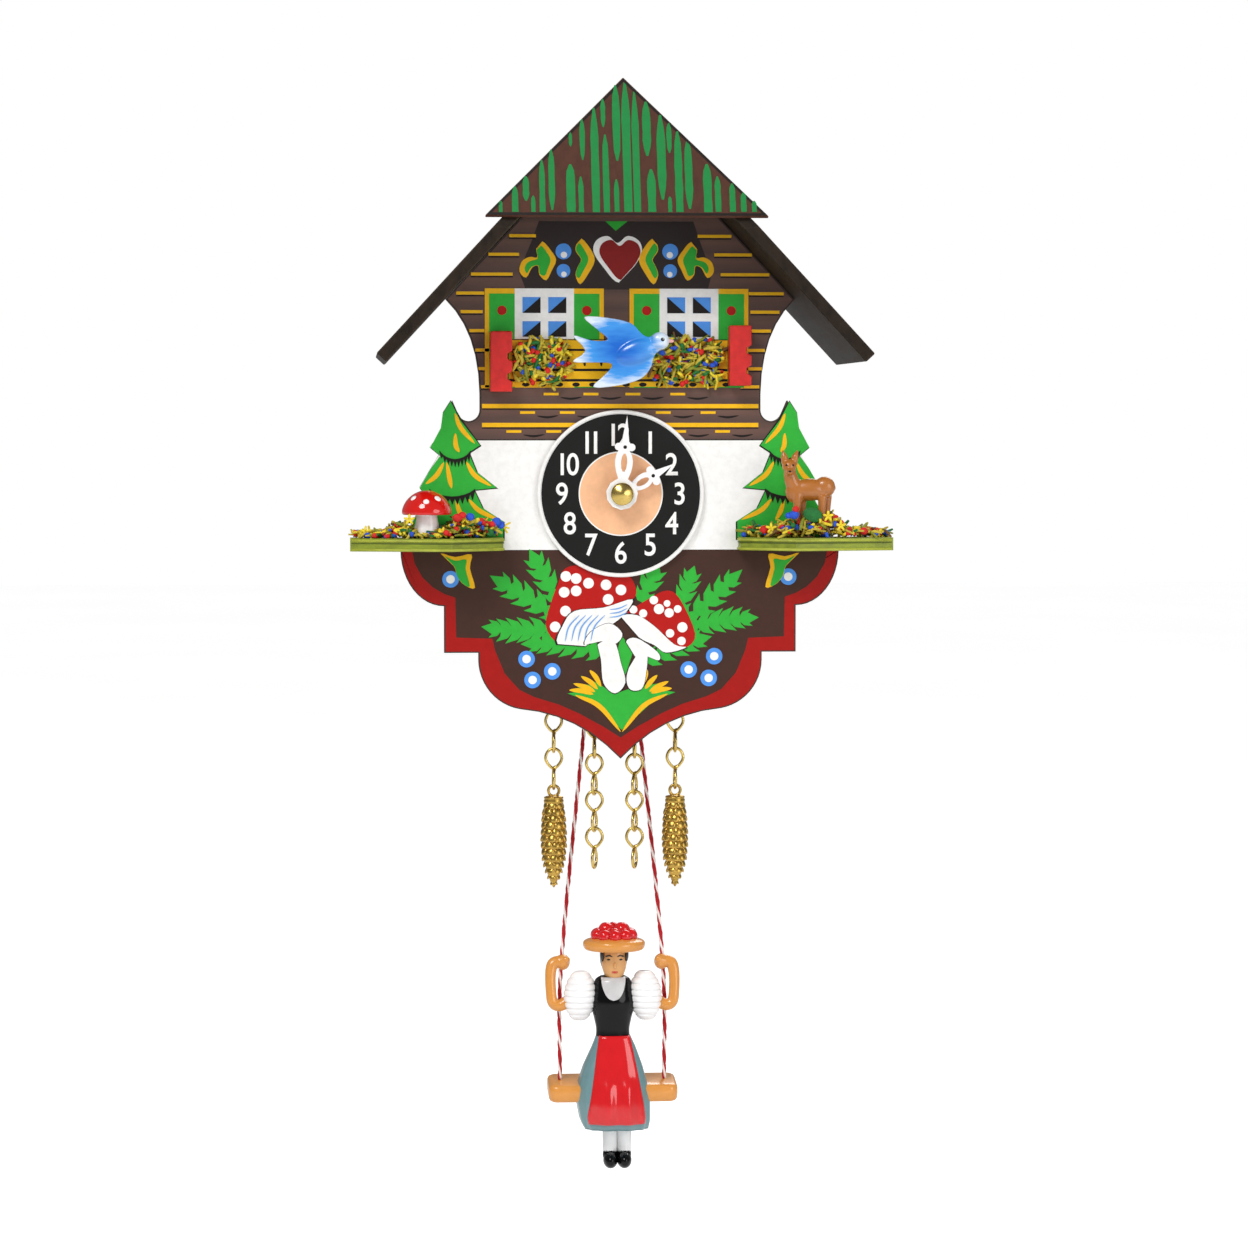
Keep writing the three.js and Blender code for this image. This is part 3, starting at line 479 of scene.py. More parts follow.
def soften(node_name, radius, segments=2):
    """Rounds the edges of a frame node a little without touching its mesh."""
    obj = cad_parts[node_name]
    weld = obj.modifiers.new("weld", "WELD")
    weld.merge_threshold = SAME_PLACE
    rounded = obj.modifiers.new("rounded", "BEVEL")
    rounded.width = radius * MM
    rounded.segments = segments
    rounded.limit_method = "ANGLE"
    rounded.angle_limit = math.radians(35)
    rounded.harden_normals = True


def coat_node(node_name, finish_name):
    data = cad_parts[node_name].data
    data.materials.clear()
    data.materials.append(FINISH[finish_name])


NODE_FINISHES = {
    "dark_wood": ("roof_left", "roof_right"),
    "board_edge": ("front_board",),
    "inner_wood": ("left_side", "right_side", "bottom_board"),
    "back_board": ("back_panel",),
    "hip_brown": ("hip_panel",),
    "olive": ("shelf_left", "shelf_right"),
    "red_wood": ("bracket_left", "bracket_right"),
    "plate_brass": ("front_plate", "rear_plate"),
    "brass": ("barrel", "winding_key", "centre_wheel", "third_wheel", "fourth_wheel",
              "escape_wheel", "minute_wheel", "hour_wheel"),
    "steel": ("mainspring", "barrel_arbor", "click", "anchor", "swing_rod"),
}
SOFTENED = {"roof_left": 0.3, "roof_right": 0.3, "hip_panel": 0.3, "bracket_left": 0.35,
            "bracket_right": 0.35, "winding_key": 0.2, "left_side": 0.3, "right_side": 0.3}

for finish_name, node_names in NODE_FINISHES.items():
    for node_name in node_names:
        coat_node(node_name, finish_name)
# the roof boards are swollen a little, which closes the gap between them and the facade
for node_name, grown in (("roof_left", 0.45), ("roof_right", 0.35)):
    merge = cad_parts[node_name].modifiers.new("merge", "WELD")
    merge.merge_threshold = SAME_PLACE
    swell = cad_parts[node_name].modifiers.new("swell", "DISPLACE")
    swell.mid_level = 0.0
    swell.strength = grown * MM
for node_name, radius in SOFTENED.items():
    soften(node_name, radius)


# ---- painted board ----
# The paint lies in thin films, each a little in front of the one below.
FILM = 0.04
FILM_LIFT, FILM_LIFTS = 0.005, 8


class Paints:
    """Collects painted shapes by colour and layer, and makes one piece of each colour."""

    def __init__(self, name, base):
        self.name = name
        self.base = base
        self.sheets = {}
        self.count = 0

    def add(self, colour, outline, layer, holes=()):
        """Adds a shape. Its thickness varies a hair in turn, so that neighbours share no surface."""
        bm = self.sheets.setdefault(colour, bmesh.new())
        back = self.base - FILM * (layer - 1)
        self.count += 1
        plate(bm, outline, back, FILM + FILM_LIFT * (self.count % FILM_LIFTS), holes=holes)

    def both(self, colour, outline, layer, shift=0.0):
        self.add(colour, outline, layer)
        self.add(colour, [(x + shift, z) for x, z in flipped(outline)], layer)

    def make(self):
        for colour, bm in self.sheets.items():
            piece(f"{self.name}_{colour}", bm, [FINISH[colour]], "case", smooth=False)


art = Paints("painting", BOARD_FRONT)


def facade_faces(low, high, inset, front, colour):
    """The flat front of the board between two heights, pulled in from the board's edge."""
    source = bmesh.new()
    source.from_mesh(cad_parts["front_board"].data)
    bmesh.ops.scale(source, vec=(1 / MM,) * 3, verts=source.verts)
    bmesh.ops.remove_doubles(source, verts=source.verts, dist=0.001)
    away = [f for f in source.faces
            if f.normal.y > -0.9 or abs(f.calc_center_median().y - BOARD_FRONT) > 0.01]
    bmesh.ops.delete(source, geom=away, context="FACES")
    bmesh.ops.dissolve_limit(source, angle_limit=0.02, verts=source.verts, edges=source.edges)
    for height, up in ((low, -1), (high, 1)):
        geom = [*source.verts, *source.edges, *source.faces]
        bmesh.ops.bisect_plane(source, geom=geom, plane_co=(0, 0, height), plane_no=(0, 0, up),
                               clear_outer=True)
    if inset:
        ring = bmesh.ops.inset_region(source, faces=source.faces[:], thickness=inset,
                                      use_even_offset=True, use_boundary=True)["faces"]
        bmesh.ops.delete(source, geom=ring, context="FACES")
    bmesh.ops.translate(source, verts=source.verts, vec=(0, -front, 0))
    piece(f"painting_{colour}_{round(-low)}", source, [FINISH[colour]], "case", smooth=False)


# the white band's heights, the height of a log, and how far the gable's right half is shifted
BAND_TOP, BAND_FOOT = -32.9, -58.4
LOG_PITCH = 4.35
GABLE_SHIFT = -1.7
BOARD_TOP = box_mm("front_board")[1].z
BOARD_FOOT = box_mm("front_board")[0].z


def siding_finish():
    """Stained logs: brown rows that darken at their joints, with long dark grain in each."""
    mat = finish("siding", "#64473c", 0.55, speckle=(300, 0.2), bump=(1500, 0.06),
                 grain=(0.12, 1, 1))
    tree = mat.node_tree
    base = tree.nodes["Principled BSDF"].inputs["Base Color"]
    half_log = LOG_PITCH / 2 * MM
    height = node(tree, "SeparateXYZ", {0: node(tree, "TexCoord").outputs["Object"]}).outputs["Z"]
    saw = node(tree, "Math", {0: height, 1: half_log}, operation="PINGPONG").outputs["Value"]
    dark = node(tree, "MapRange", {"Value": saw, "From Max": half_log, "To Min": 0.0, "To Max": 0.45})
    tree.links.new(mixed(tree, dark.outputs["Result"], base.links[0].from_socket, "#33282a"), base)
    return mat


FINISH["siding"] = siding_finish()


def paint_grounds():
    facade_faces(BAND_TOP, BOARD_TOP + 1, 0.35, 0.02, "siding")
    facade_faces(BAND_FOOT, BAND_TOP, 0.0, 0.02, "white_paint")
    facade_faces(BOARD_FOOT - 1, BAND_FOOT, 0.3, 0.02, "border_red")
    low = [(-48.6, -58.5), (-48, -61.6), (-46.2, -64.8), (-43.8, -67.1), (-41.2, -68.6),
           (-38.6, -69.5), (-38.4, -78.8), (-30, -79.1), (-29.3, -82), (-27.1, -87.3),
           (-23.7, -91.1), (-20.2, -92.8), (-14.4, -94.6), (-9.7, -96.7), (-3.9, -99.9)]
    art.add("ground_brown", [*low, (0, -102.4), *flipped(low)], 1)


def paint_leaves():
    """The heart with leaves and berries under the gable."""
    panel = [(-19, 18), (-20.5, 13.8), (-22.1, 10), (-23.6, 6.1), (-22.1, 2.2), (20.4, 2.2),
             (21.4, 6.1), (19.8, 10), (18.4, 13.8), (17, 18)]
    art.add("shadow_panel", panel, 1)
    heart = [(-0.4, 3.8), (-4.2, 7.6), (-6.3, 11), (-5.6, 13.6), (-3, 14.6), (-0.7, 13),
             (1.6, 14.6), (4.2, 13.6), (5, 11), (3.2, 7.6)]
    art.add("white_paint", curved(heart), 2)
    inner = [(x * 0.84 + 0.42, 9.3 + (z - 9.5) * 0.86) for x, z in heart]
    art.add("heart_red", curved(inner), 3)
    near = [(-9.1, 14), (-7, 11.6), (-6, 8.9), (-7.4, 6), (-9.4, 3.4), (-10.5, 5.6), (-9.9, 7.6),
            (-9.2, 9.2), (-10.4, 11), (-10.3, 12.6)]
    near_core = [(-9.6, 13), (-8.2, 11), (-7.5, 9), (-8.6, 6.6), (-9.7, 4.8), (-10.4, 5.8), (-9.8, 7.7),
                 (-9.1, 9.2), (-10.3, 11.1), (-10.2, 12.4)]
    far = [(-18.2, 13.3), (-16.2, 11.2), (-15, 9), (-16, 6.6), (-17.3, 4.3), (-18.9, 5.6), (-19.2, 7.6),
           (-20.6, 7.2), (-22, 4.9), (-23.5, 6.3), (-23, 8.6), (-21.2, 9.7), (-19.4, 9.6), (-19.6, 11.6)]
    far_core = [(-18.5, 12.3), (-17.2, 10.8), (-16.3, 9), (-17, 6.8), (-17.6, 5.4), (-18.8, 5.8),
                (-19.1, 7.7), (-20.7, 7.4), (-21.8, 5.9), (-22.3, 7), (-21.8, 8.2), (-20.8, 8.8),
                (-19.3, 9.3), (-19.5, 11.4)]
    for shape, core in ((near, near_core), (far, far_core)):
        art.both("yellow_paint", curved(shape, 3), 2, GABLE_SHIFT)
        art.both("leaf_green", curved(core, 3), 3, GABLE_SHIFT)
    for x, z, r in ((-13.3, 11, 1.85), (-13.3, 6.5, 1.6)):
        art.both("berry_blue", oval(x, z, r), 2, GABLE_SHIFT)
        art.both("white_paint", oval(x + 0.1, z - 0.8, r * 0.4), 3, GABLE_SHIFT)
    art.add("leaf_green", [(-3.5, 18), (-1.1, 15.8), (1.6, 18)], 2)


def paint_logs():
    """Yellow joints of the logs, short at the sides, long below, with dashes between."""
    side_lines = ((14.6, 25.9, 19.7), (10.3, 30.7, 23.6), (5.7, 34.8, 25.1), (1.3, 38.2, 31.7),
                  (-3, 37.2, 32.1), (-7.4, 35.2, 31.7), (-11.9, 33.8, 30.6),
                  (-16.2, 33.1, 30.6), (-20.4, 32.5, 29.8))
    for z, outer, inner in side_lines:
        for x0, x1 in ((-outer, -inner), (inner + GABLE_SHIFT, outer)):
            art.add("yellow_paint", rect(x0, z - 0.36, x1, z + 0.36), 2)
            art.add("line_dark", rect(x0, z - 0.75, x1, z - 0.46), 1)
    for z in (-24.9, -29.3):
        art.add("yellow_paint", rect(-32.3, z - 0.5, 32.3, z + 0.5), 2)
        art.add("line_dark", rect(-32.3, z - 0.85, 32.3, z - 0.55), 1)
    for z, middles in ((-22.1, (-16.2, -6.9, 2.9, 13.4)), (-26.4, (-21.7, -12.4, 10, 20.5)),
                       (-30.8, (-24.9, -15.6, 13.6, 23.9))):
        for x in middles:
            art.add("yellow_paint", rect(x - 1.75, z - 0.3, x + 1.75, z + 0.3), 2)
            art.add("line_dark", brush([(x + 2.2, z - 0.8), (x + 4.7, z - 1.1), (x + 7.2, z - 0.7)], 0.5), 1)


def paint_window(left, right, inward):
    """One window with its two shutters in a yellow frame."""
    top, foot = 2.4, -20.6
    art.add("yellow_paint", rect(left, foot, right, top), 2)
    glass = (left + right) / 2
    half = 6.9
    for x0, x1 in ((left + 1, glass - half), (glass + half, right - 1)):
        art.add("leaf_green", rect(x0, foot, x1, top - 1.2), 3)
        art.add("cap_red", oval((x0 + x1) / 2, -2.7, 1.1), 4)
    art.add("white_paint", rect(glass - half, -9.3, glass + half, top), 4)
    for px in (-3, 3):
        for z0, z1 in ((-3.3, 0.4), (-8.8, -5.2)):
            x0, x1 = glass + px - 2.1, glass + px + 2.1
            art.add("berry_blue", rect(x0, z0, x1, z1), 5)
            corner = [(x1, z1), (x0, z0), (x1, z0)] if inward > 0 else [(x0, z1), (x0, z0), (x1, z0)]
            art.add("line_dark", corner, 6)


def paint_balcony():
    """The railing behind the flowers: yellow slats with small cut-outs between dark joints."""
    art.add("line_dark", rect(-26, -20.4, 25, -9.4), 5)
    for low, high in ((-11.6, -9.6), (-16.2, -12.1), (-18.6, -16.8), (-20.4, -19.2)):
        art.add("yellow_paint", rect(-26, low, 25, high), 6)
    for i in range(13):
        x = -24 + i * 3.9
        art.add("line_dark", oval(x, -14.9, 0.3, 0.75, 10), 7)
        art.add("line_dark", oval(x, -13.7, 0.5, 0.4, 10), 7)
        art.add("line_dark", oval(x + 1.9, -19.9, 0.9, 0.5, 10), 7)


def paint_trees():
    """Fir trees at both sides: three tiers with yellow edges and dark gaps."""
    tree = [(-39.6, -23.8), (-41.4, -26.6), (-41.9, -30), (-44.3, -34.5), (-42, -36.4),
            (-44.2, -39.4), (-46.8, -43.9), (-45, -45.8), (-48.6, -52), (-49.5, -56),
            (-27.4, -56), (-27.4, -51.7), (-32.2, -48.6), (-34.2, -44.4), (-28.9, -43.9),
            (-33.6, -40.2), (-35.4, -35.7), (-32.8, -34), (-37.5, -28)]
    grown = [(x + (0.35 if x > -38 else 0), z + (0.25 if z > -30 else -0.2)) for x, z in tree]
    art.both("line_dark", grown, 1)
    art.both("leaf_green", tree, 2)
    strokes = (((-38.6, -26.6), (-37.2, -30), (-34, -33.6)), ((-38.5, -31.2), (-38.4, -34), (-37.6, -35.6)),
               ((-36, -37.8), (-34, -41), (-30.2, -43.5)), ((-41.2, -38), (-42.9, -41), (-45.4, -43)),
               ((-40.5, -38), (-39.9, -41.6), (-39.4, -44)), ((-35.4, -46.6), (-33, -49.2), (-28.4, -51.4)),
               ((-38.4, -46.8), (-37.6, -49.4), (-36.4, -51.6)))
    for line in strokes:
        art.both("yellow_paint", brush(line, 1.1), 3)
    for x0, x1, z, sag in ((-42.2, -34.9, -35.4, 2.1), (-44.6, -33.9, -44.3, 1.9)):
        count = 9
        under = []
        for i in range(count + 1):
            share = i / count
            drop = sag * math.sin(math.pi * share) ** 0.7
            x = x0 + (x1 - x0) * share
            under.append((x, z - drop - 0.25))
            if i < count:
                under.append((x + (x1 - x0) * 0.5 / count, z - drop - 1.7))
        over = [(x0 + (x1 - x0) * i / 8, z - (sag - 0.1) * math.sin(math.pi * i / 8) ** 0.7 + 0.2)
                for i in range(9)]
        art.both("line_dark", over + under[::-1], 4)


def sprig(start, end, width, count, bend=0.0):
    """A pine sprig: a stem with curved, pointed needles that grow shorter towards its tip."""
    a, b = Vector(start), Vector(end)
    along = (b - a).normalized()
    across = Vector((-along.y, along.x))
    length = (b - a).length
    upper, lower = [], []
    for i in range(count):
        share = i / count
        base = a + along * length * share + across * bend * math.sin(math.pi * share)
        reach = width * (0.75 + 0.45 * math.sin(math.pi * (0.1 + share * 0.7))) * (1 - 0.55 * share ** 3)
        for side, line in ((1, upper), (-1, lower)):
            root = base + across * side * width * 0.17
            line.append(tuple(root))
            line.append(tuple(root + along * reach * 0.25 + across * side * reach * 0.28))
            line.append(tuple(base + along * reach * 0.85 + across * side * reach * 0.62))
            line.append(tuple(root + along * reach * 0.62 + across * side * reach * 0.16))
    return [*upper, tuple(b + along * width * 0.45), *lower[::-1]]


def paint_sprigs():
    for start, end, width, count, bend in (
            ((-14.6, -70.5), (-20.4, -59.9), 4.4, 4, 0), ((-14.8, -73.8), (-28.8, -65.4), 4.6, 5, 0),
            ((-15.0, -76.4), (-30.6, -76.3), 4.4, 6, 0.9), ((4.6, -70.5), (8.2, -63.3), 4.2, 3, 0),
            ((13.6, -73.0), (16.8, -63.8), 3.9, 4, 0), ((15.2, -75.6), (27.2, -64.4), 4.3, 5, 0),
            ((15.6, -76.6), (30.6, -74.6), 4.2, 6, 0.5), ((-4.6, -82.2), (-21.4, -80.6), 4.5, 6, -1),
            ((6.0, -84.2), (19.6, -79.4), 4.4, 5, 0.6)):
        art.add("leaf_green", sprig(start, end, width, count, bend=bend), 2)
    art.add("leaf_green", [(0.2, -78.5), (3, -82), (1.2, -87.6), (-1, -83)], 2)


def add_lined(shape, layer, grow_x, grow_z):
    """A white shape over a dark copy of itself that is a little larger, as its outline."""
    outline = curved(shape, 4)
    cx = sum(x for x, z in outline) / len(outline)
    cz = sum(z for x, z in outline) / len(outline)
    larger = [(cx + (x - cx) * grow_x, cz + (z - cz) * grow_z) for x, z in outline]
    art.add("line_dark", larger, layer)
    art.add("white_paint", outline, layer + 1)


def paint_mushrooms():
    """Two fly agarics: red caps with white spots, blue gills, collars and stems."""
    big_cap = [(-13.6, -63.4), (-9.5, -62), (0, -63.2), (3.3, -66.5), (2.9, -70), (-3.9, -72),
               (-10.8, -72.8), (-13.6, -76.2), (-14.8, -80), (-17.5, -76), (-15.7, -69)]
    gills = [(-14.7, -80.4), (-13.5, -76), (-10.8, -72.7), (-3.9, -71.9), (2.8, -70), (0.4, -74),
             (-4, -77), (-7, -78.2), (-8.2, -80.9)]
    collar = [(-8.4, -80.6), (-7, -77.6), (-2.7, -75.6), (0.4, -78), (-1.2, -80.4), (-4.6, -79.8)]
    stem = [(-5.4, -80.6), (-1.6, -79.8), (0.1, -85), (1.1, -89.5), (-1.3, -92), (-4, -89.6), (-4.6, -84)]
    art.add("cap_red", curved(big_cap, 4), 3)
    for shape, layer in ((gills, 4), (collar, 5), (stem, 5)):
        add_lined(shape, layer, 1.05, 1.04)
    for i in range(5):
        x = -13 + i * 1.5
        art.add("gill_blue", brush([(x, -79.8), (x + 0.9, -76.4), (x + 3.4, -73.6)], 0.35), 7)
    for i in range(3):
        z = -72.4 - i * 0.9
        art.add("gill_blue", brush([(-2.6, z), (-0.4, z + 0.3), (1.6, z + 1.2)], 0.3), 7)
    small_cap = [(0.6, -73.8), (6.4, -70), (10.7, -68), (13.8, -69.8), (17.5, -78), (15.6, -81.2),
                 (12.4, -80.6), (7.7, -76.2), (3.7, -73.8)]
    small_gills = [(0.2, -74.2), (3.8, -73.7), (7.8, -76.2), (12.6, -80.6), (15.4, -81.3),
                   (10.7, -82.5), (8, -80.8), (4.2, -78.8)]
    small_collar = [(1.3, -80), (3.8, -79.1), (8.6, -82.3), (9, -84.3), (5.6, -83.2), (3.4, -83.4)]
    small_stem = [(3.9, -82.8), (6.2, -82.6), (5.9, -88), (4.9, -91), (2.4, -91.2), (1.4, -89), (2, -86)]
    art.add("cap_red", curved(small_cap, 4), 3)
    for shape, layer in ((small_gills, 4), (small_collar, 5), (small_stem, 5)):
        add_lined(shape, layer, 1.06, 1.05)
    for x, z in ((-10.4, -65.1), (-7.5, -66.2), (-10.4, -68), (-13.2, -68.3), (-3.4, -66.6),
                 (0.1, -67.8), (-2.9, -70), (-12.9, -72.7), (-15.3, -76.4), (-12.8, -64.6)):
        art.add("white_paint", oval(x, z, 1.25, count=18), 4)
    for x, z, r in ((3, -72.4, 0.95), (5.3, -73.3, 0.95), (7.8, -70.2, 1), (9, -72.3, 1.2),
                    (10.9, -71, 0.8), (11.4, -73.2, 1.1), (13.4, -72.3, 0.9), (14.5, -76.6, 1.2),
                    (11.6, -78, 1), (14.3, -79.8, 1)):
        art.add("white_paint", oval(x, z, r, count=18), 4)


def paint_grass():
    tuft = [(-12.4, -92), (-8.8, -91.4), (-11.2, -89.6), (-7.2, -90), (-9.4, -87.8), (-5, -89.8),
            (-1.5, -92.2), (2, -91), (4.8, -91), (8.6, -87.6), (7.4, -90), (11.4, -89.2), (8.9, -91.2),
            (12.9, -91.8), (8, -93.6), (0.3, -100.6), (-6.6, -94.2)]
    art.add("leaf_green", tuft, 3)
    for line in (((-10.6, -92.4), (-5, -95), (0, -101)), ((11, -92.2), (5.4, -95), (0.4, -101)),
                 ((-11, -89.7), (-8, -90.6), (-6, -91.6)), ((-9.2, -88), (-7, -89.4), (-5.4, -91)),
                 ((-7.2, -86.6), (-5.8, -88.2), (-4.6, -90.4)), ((-12, -91.2), (-9, -91.4), (-6.4, -92.2)),
                 ((6.2, -86.4), (5.8, -88), (5.2, -90)), ((12, -90.9), (9.4, -91.2), (7.2, -92)),
                 ((11.2, -89.3), (8.8, -90.4), (6.8, -91.6)), ((8.6, -87.8), (7, -89.4), (5.8, -91))):
        art.add("yellow_paint", brush(line, 1.15), 4)


def paint_berries():
    for x, z in ((-22, -83.9), (-20.6, -88.8), (-16, -86.8), (22, -83.4), (20.7, -88.5), (16, -86.5),
                 (-39.7, -65.2), (39.4, -64.8)):
        art.add("berry_blue", oval(x, z, 1.95), 3)
        art.add("white_paint", oval(x, z, 1.0, count=20), 4)
    leaf = [(-42, -59.2), (-38.6, -60), (-34.8, -59.4), (-35.2, -62.6), (-34, -67.2), (-36.4, -66.6),
            (-38.2, -64.6), (-38.9, -62.2)]
    core = [(-41, -59.9), (-38.6, -60.9), (-36, -60.6), (-36.2, -62.8), (-35.2, -66.8), (-36.6, -66.4),
            (-38.1, -64.6), (-38.8, -62.2)]
    art.both("yellow_paint", curved(leaf, 3), 3)
    art.both("leaf_green", curved(core, 3), 4)


paint_grounds()
paint_leaves()
paint_logs()
paint_window(-31.6, -3.9, 1)
paint_window(2.1, 29.9, -1)
paint_balcony()
paint_trees()
paint_sprigs()
paint_mushrooms()
paint_grass()
paint_berries()
art.make()


# ---- hip ----
# the leaning panel: its lean from the upright in radians, the middle of its foot, its thickness
HIP_LEAN = 0.408
HIP_FOOT = Vector((0, -53.4, 17.6))
HIP_T = 1.4
# painted streaks of the hip: x, height where each starts and ends up the slope, and width
STREAKS = ((-28.7, 0.7, 3.6, 0.9), (-25.4, 0.8, 7.2, 1.5), (-22.9, 3.6, 9.8, 1.5), (-21.3, 0.8, 4.9, 1),
           (-19.2, 0.8, 13.9, 1.3), (-17, 1.3, 16.6, 1.5), (-12.7, 0.8, 12.9, 2.1), (-12.5, 17.4, 21, 0.8),
           (-10.4, 0.8, 9.8, 1.2), (-9.8, 14, 24.4, 1.2), (-7, 0.8, 27.3, 1.8), (-4.9, 22.4, 29.7, 1.1),
           (-4.6, 0.8, 20.5, 1.5), (-2.3, 0.9, 9.1, 1.2), (-1.9, 13.8, 33.2, 1.8), (0.3, 0.9, 34, 2),
           (2.4, 0.9, 31.6, 1.7), (5, 15.1, 29, 1.9), (5.7, 0.9, 11.7, 1.9), (8.2, 4, 25.6, 2),
           (9.8, 0.9, 4.8, 0.9), (10.1, 15.9, 23.5, 1.2), (12, 0.9, 21.4, 1.8), (14.3, 1.7, 19.3, 1.8),
           (18.5, 0.9, 13.1, 2), (20.8, 1, 10, 1.4), (24.1, 1, 8.2, 1.4), (26.6, 1, 5.9, 1.3),
           (29, 1, 3.8, 1.1))


def make_hip_paint():
    """Green streaks on the brown hip, with a dark line along its slopes."""
    tilt = math.pi / 2 - HIP_LEAN
    rng = random.Random(4)
    FINISH["hip_green"] = paint("hip_green", "#17803c", 0.55)
    shapes = {"hip_green": [], "line_dark": []}
    for x, low, high, width in STREAKS:
        shapes["hip_green"].append(streak(x, low, high, width, rng))
    half, top = 32.3, 35.4
    for sign in (-1, 1):
        slope = Vector((-sign * half, top)).normalized()
        inner = Vector((-slope.y, slope.x)) * 0.55 * sign
        a, b = Vector((sign * (half - 0.5), 0.3)), Vector((0, top - 0.5))
        shapes["line_dark"].append([tuple(a), tuple(b), tuple(b + inner), tuple(a + inner)])
    shapes["line_dark"].append(rect(-half + 0.7, 0.05, half - 0.7, 0.65))
    for colour, outlines in shapes.items():
        bm = bmesh.new()
        for number, outline in enumerate(outlines):
            plate(bm, outline, 0, FILM + 0.004 * number % 0.03)
        bmesh.ops.rotate(bm, verts=bm.verts, matrix=Matrix.Rotation(-HIP_LEAN, 3, "X"))
        out = Vector((0, -math.sin(tilt), math.cos(tilt))) * (HIP_T + 0.005)
        bmesh.ops.translate(bm, verts=bm.verts, vec=HIP_FOOT + out)
        piece(f"hip_paint_{colour}", bm, [FINISH[colour]], "case", smooth=False)


def streak(x, low, high, width, rng):
    """A streak with ragged long sides, cut straight where it starts at the foot."""
    left, right = [], []
    steps = 7
    for i in range(steps + 1):
        share = i / steps
        end = min(1, (1 - share) * 5, share * 5 if low > 1.2 else 1)
        half = width / 2 * (0.25 + 0.75 * max(0, end)) * rng.uniform(0.9, 1.06)
        z = low + (high - low) * share
        left.append((x - half, z))
        right.append((x + half, z))
    return left + right[::-1]


make_hip_paint()


# ---- dial, nut and hands ----
def numeral(text, x, z, height, front):
    """One dial number as a thin solid with rounded strokes, centred on its place."""
    data = bpy.data.curves.new("numeral_" + text, "FONT")
    data.body = text
    data.size = 1.0
    data.offset = 0.012
    data.space_character = 0.62 if text == "11" else 0.8
    made = bpy.data.objects.new("numeral_" + text, data)
    bpy.context.scene.collection.objects.link(made)
    bpy.context.view_layer.update()
    mesh = bpy.data.meshes.new_from_object(made)
    bpy.data.objects.remove(made)
    pts = [v.co for v in mesh.vertices]
    low = Vector((min(p.x for p in pts), min(p.y for p in pts)))
    high = Vector((max(p.x for p in pts), max(p.y for p in pts)))
    size = height / (high.y - low.y)
    middle = (low + high) / 2
    for v in mesh.vertices:
        v.co = Vector((x + (v.co.x - middle.x) * size * 0.86, front, z + (v.co.y - middle.y) * size))
    return mesh


def make_dial():
    back, front = DIAL_HIGH.y, DIAL_LOW.y
    radius = (DIAL_HIGH.x - DIAL_LOW.x) / 2
    bore = oval(0, DIAL_Z, 2.9, count=32)
    bm = bmesh.new()
    layers = ((radius, 0, back, back - front - 0.12), (radius - 0.95, 1, front + 0.12, 0.04),
              (9.85, 0, front + 0.08, 0.03), (9.55, 2, front + 0.05, 0.03))
    for r, mat, start, thick in layers:
        plate(bm, oval(0, DIAL_Z, r, count=96), start, thick, mat, holes=[bore])
    tube(bm, [(x, front + 0.14, z) for x, z in oval(0, DIAL_Z, radius - 0.42, count=96)], 0.42, 8, 0, True)
    for number in range(1, 13):
        a = TAU * number / 12
        mesh = numeral(str(number), 13.75 * math.sin(a), DIAL_Z + 13.75 * math.cos(a), 5.2, front + 0.06)
        bm.from_mesh(mesh)
    piece("dial_face", bm, [FINISH["white_paint"], FINISH["dial_black"], FINISH["peach"]], "case",
          ["dial"], smooth=False)


def make_nut():
    """The turned brass nut, a low dome over a rim."""
    back = box_mm("hand_nut")[1].y
    profile = ((0, 2.55), (0.45, 2.65), (0.75, 2.5), (1.1, 2.0), (1.45, 1.3), (1.7, 0.6), (1.78, 0.12))
    bm = bmesh.new()
    turned(bm, 0, 0, profile, 40)
    bmesh.ops.rotate(bm, verts=bm.verts, matrix=Matrix.Rotation(math.pi / 2, 3, "X"))
    bmesh.ops.translate(bm, verts=bm.verts, vec=(0, back, DIAL_Z))
    piece("nut_brass", bm, [FINISH["brass"]], "minute_arbor", ["hand_nut"])


def make_hand_dots():
    """The small dark hole at the guard of each hand."""
    for name, reach, angle, front, body in (("minute", 10.9, 0.067, -37.2, "minute_arbor"),
                                            ("hour", 8.5, math.pi / 3 + 0.0056, -35.6, "hour_wheel")):
        bm = bmesh.new()
        x, z = reach * math.sin(angle), DIAL_Z + reach * math.cos(angle)
        plate(bm, oval(x, z, 0.42, count=20), front + 0.1, 0.14)
        piece(name + "_hand_dot", bm, [FINISH["line_dark"]], body, smooth=False)


make_dial()
make_nut()
make_hand_dots()
for node_name in ("hour_hand", "minute_hand"):
    coat_node(node_name, "white_plastic")
    soften(node_name, 0.16, 3)


# ---- moulded figures ----
def moulded(name, bm, voxel, relax, materials, body, replaces):
    """One smooth moulding of overlapping bodies, as if cast in a single piece."""
    mesh = bpy.data.meshes.new(name)
    bm.to_mesh(mesh)
    bm.free()
    rough = bpy.data.objects.new(name + "_rough", mesh)
    bpy.context.scene.collection.objects.link(rough)
    skin = rough.modifiers.new("skin", "REMESH")
    skin.mode = "VOXEL"
    skin.voxel_size = voxel
    calm = rough.modifiers.new("calm", "SMOOTH")
    calm.factor = 0.6
    calm.iterations = relax
    bpy.context.view_layer.update()
    made = bpy.data.meshes.new_from_object(rough.evaluated_get(bpy.context.evaluated_depsgraph_get()))
    bpy.data.objects.remove(rough)
    whole = bmesh.new()
    whole.from_mesh(made)
    for face in whole.faces:
        face.material_index = 0
    return piece(name, whole, materials, body, replaces)


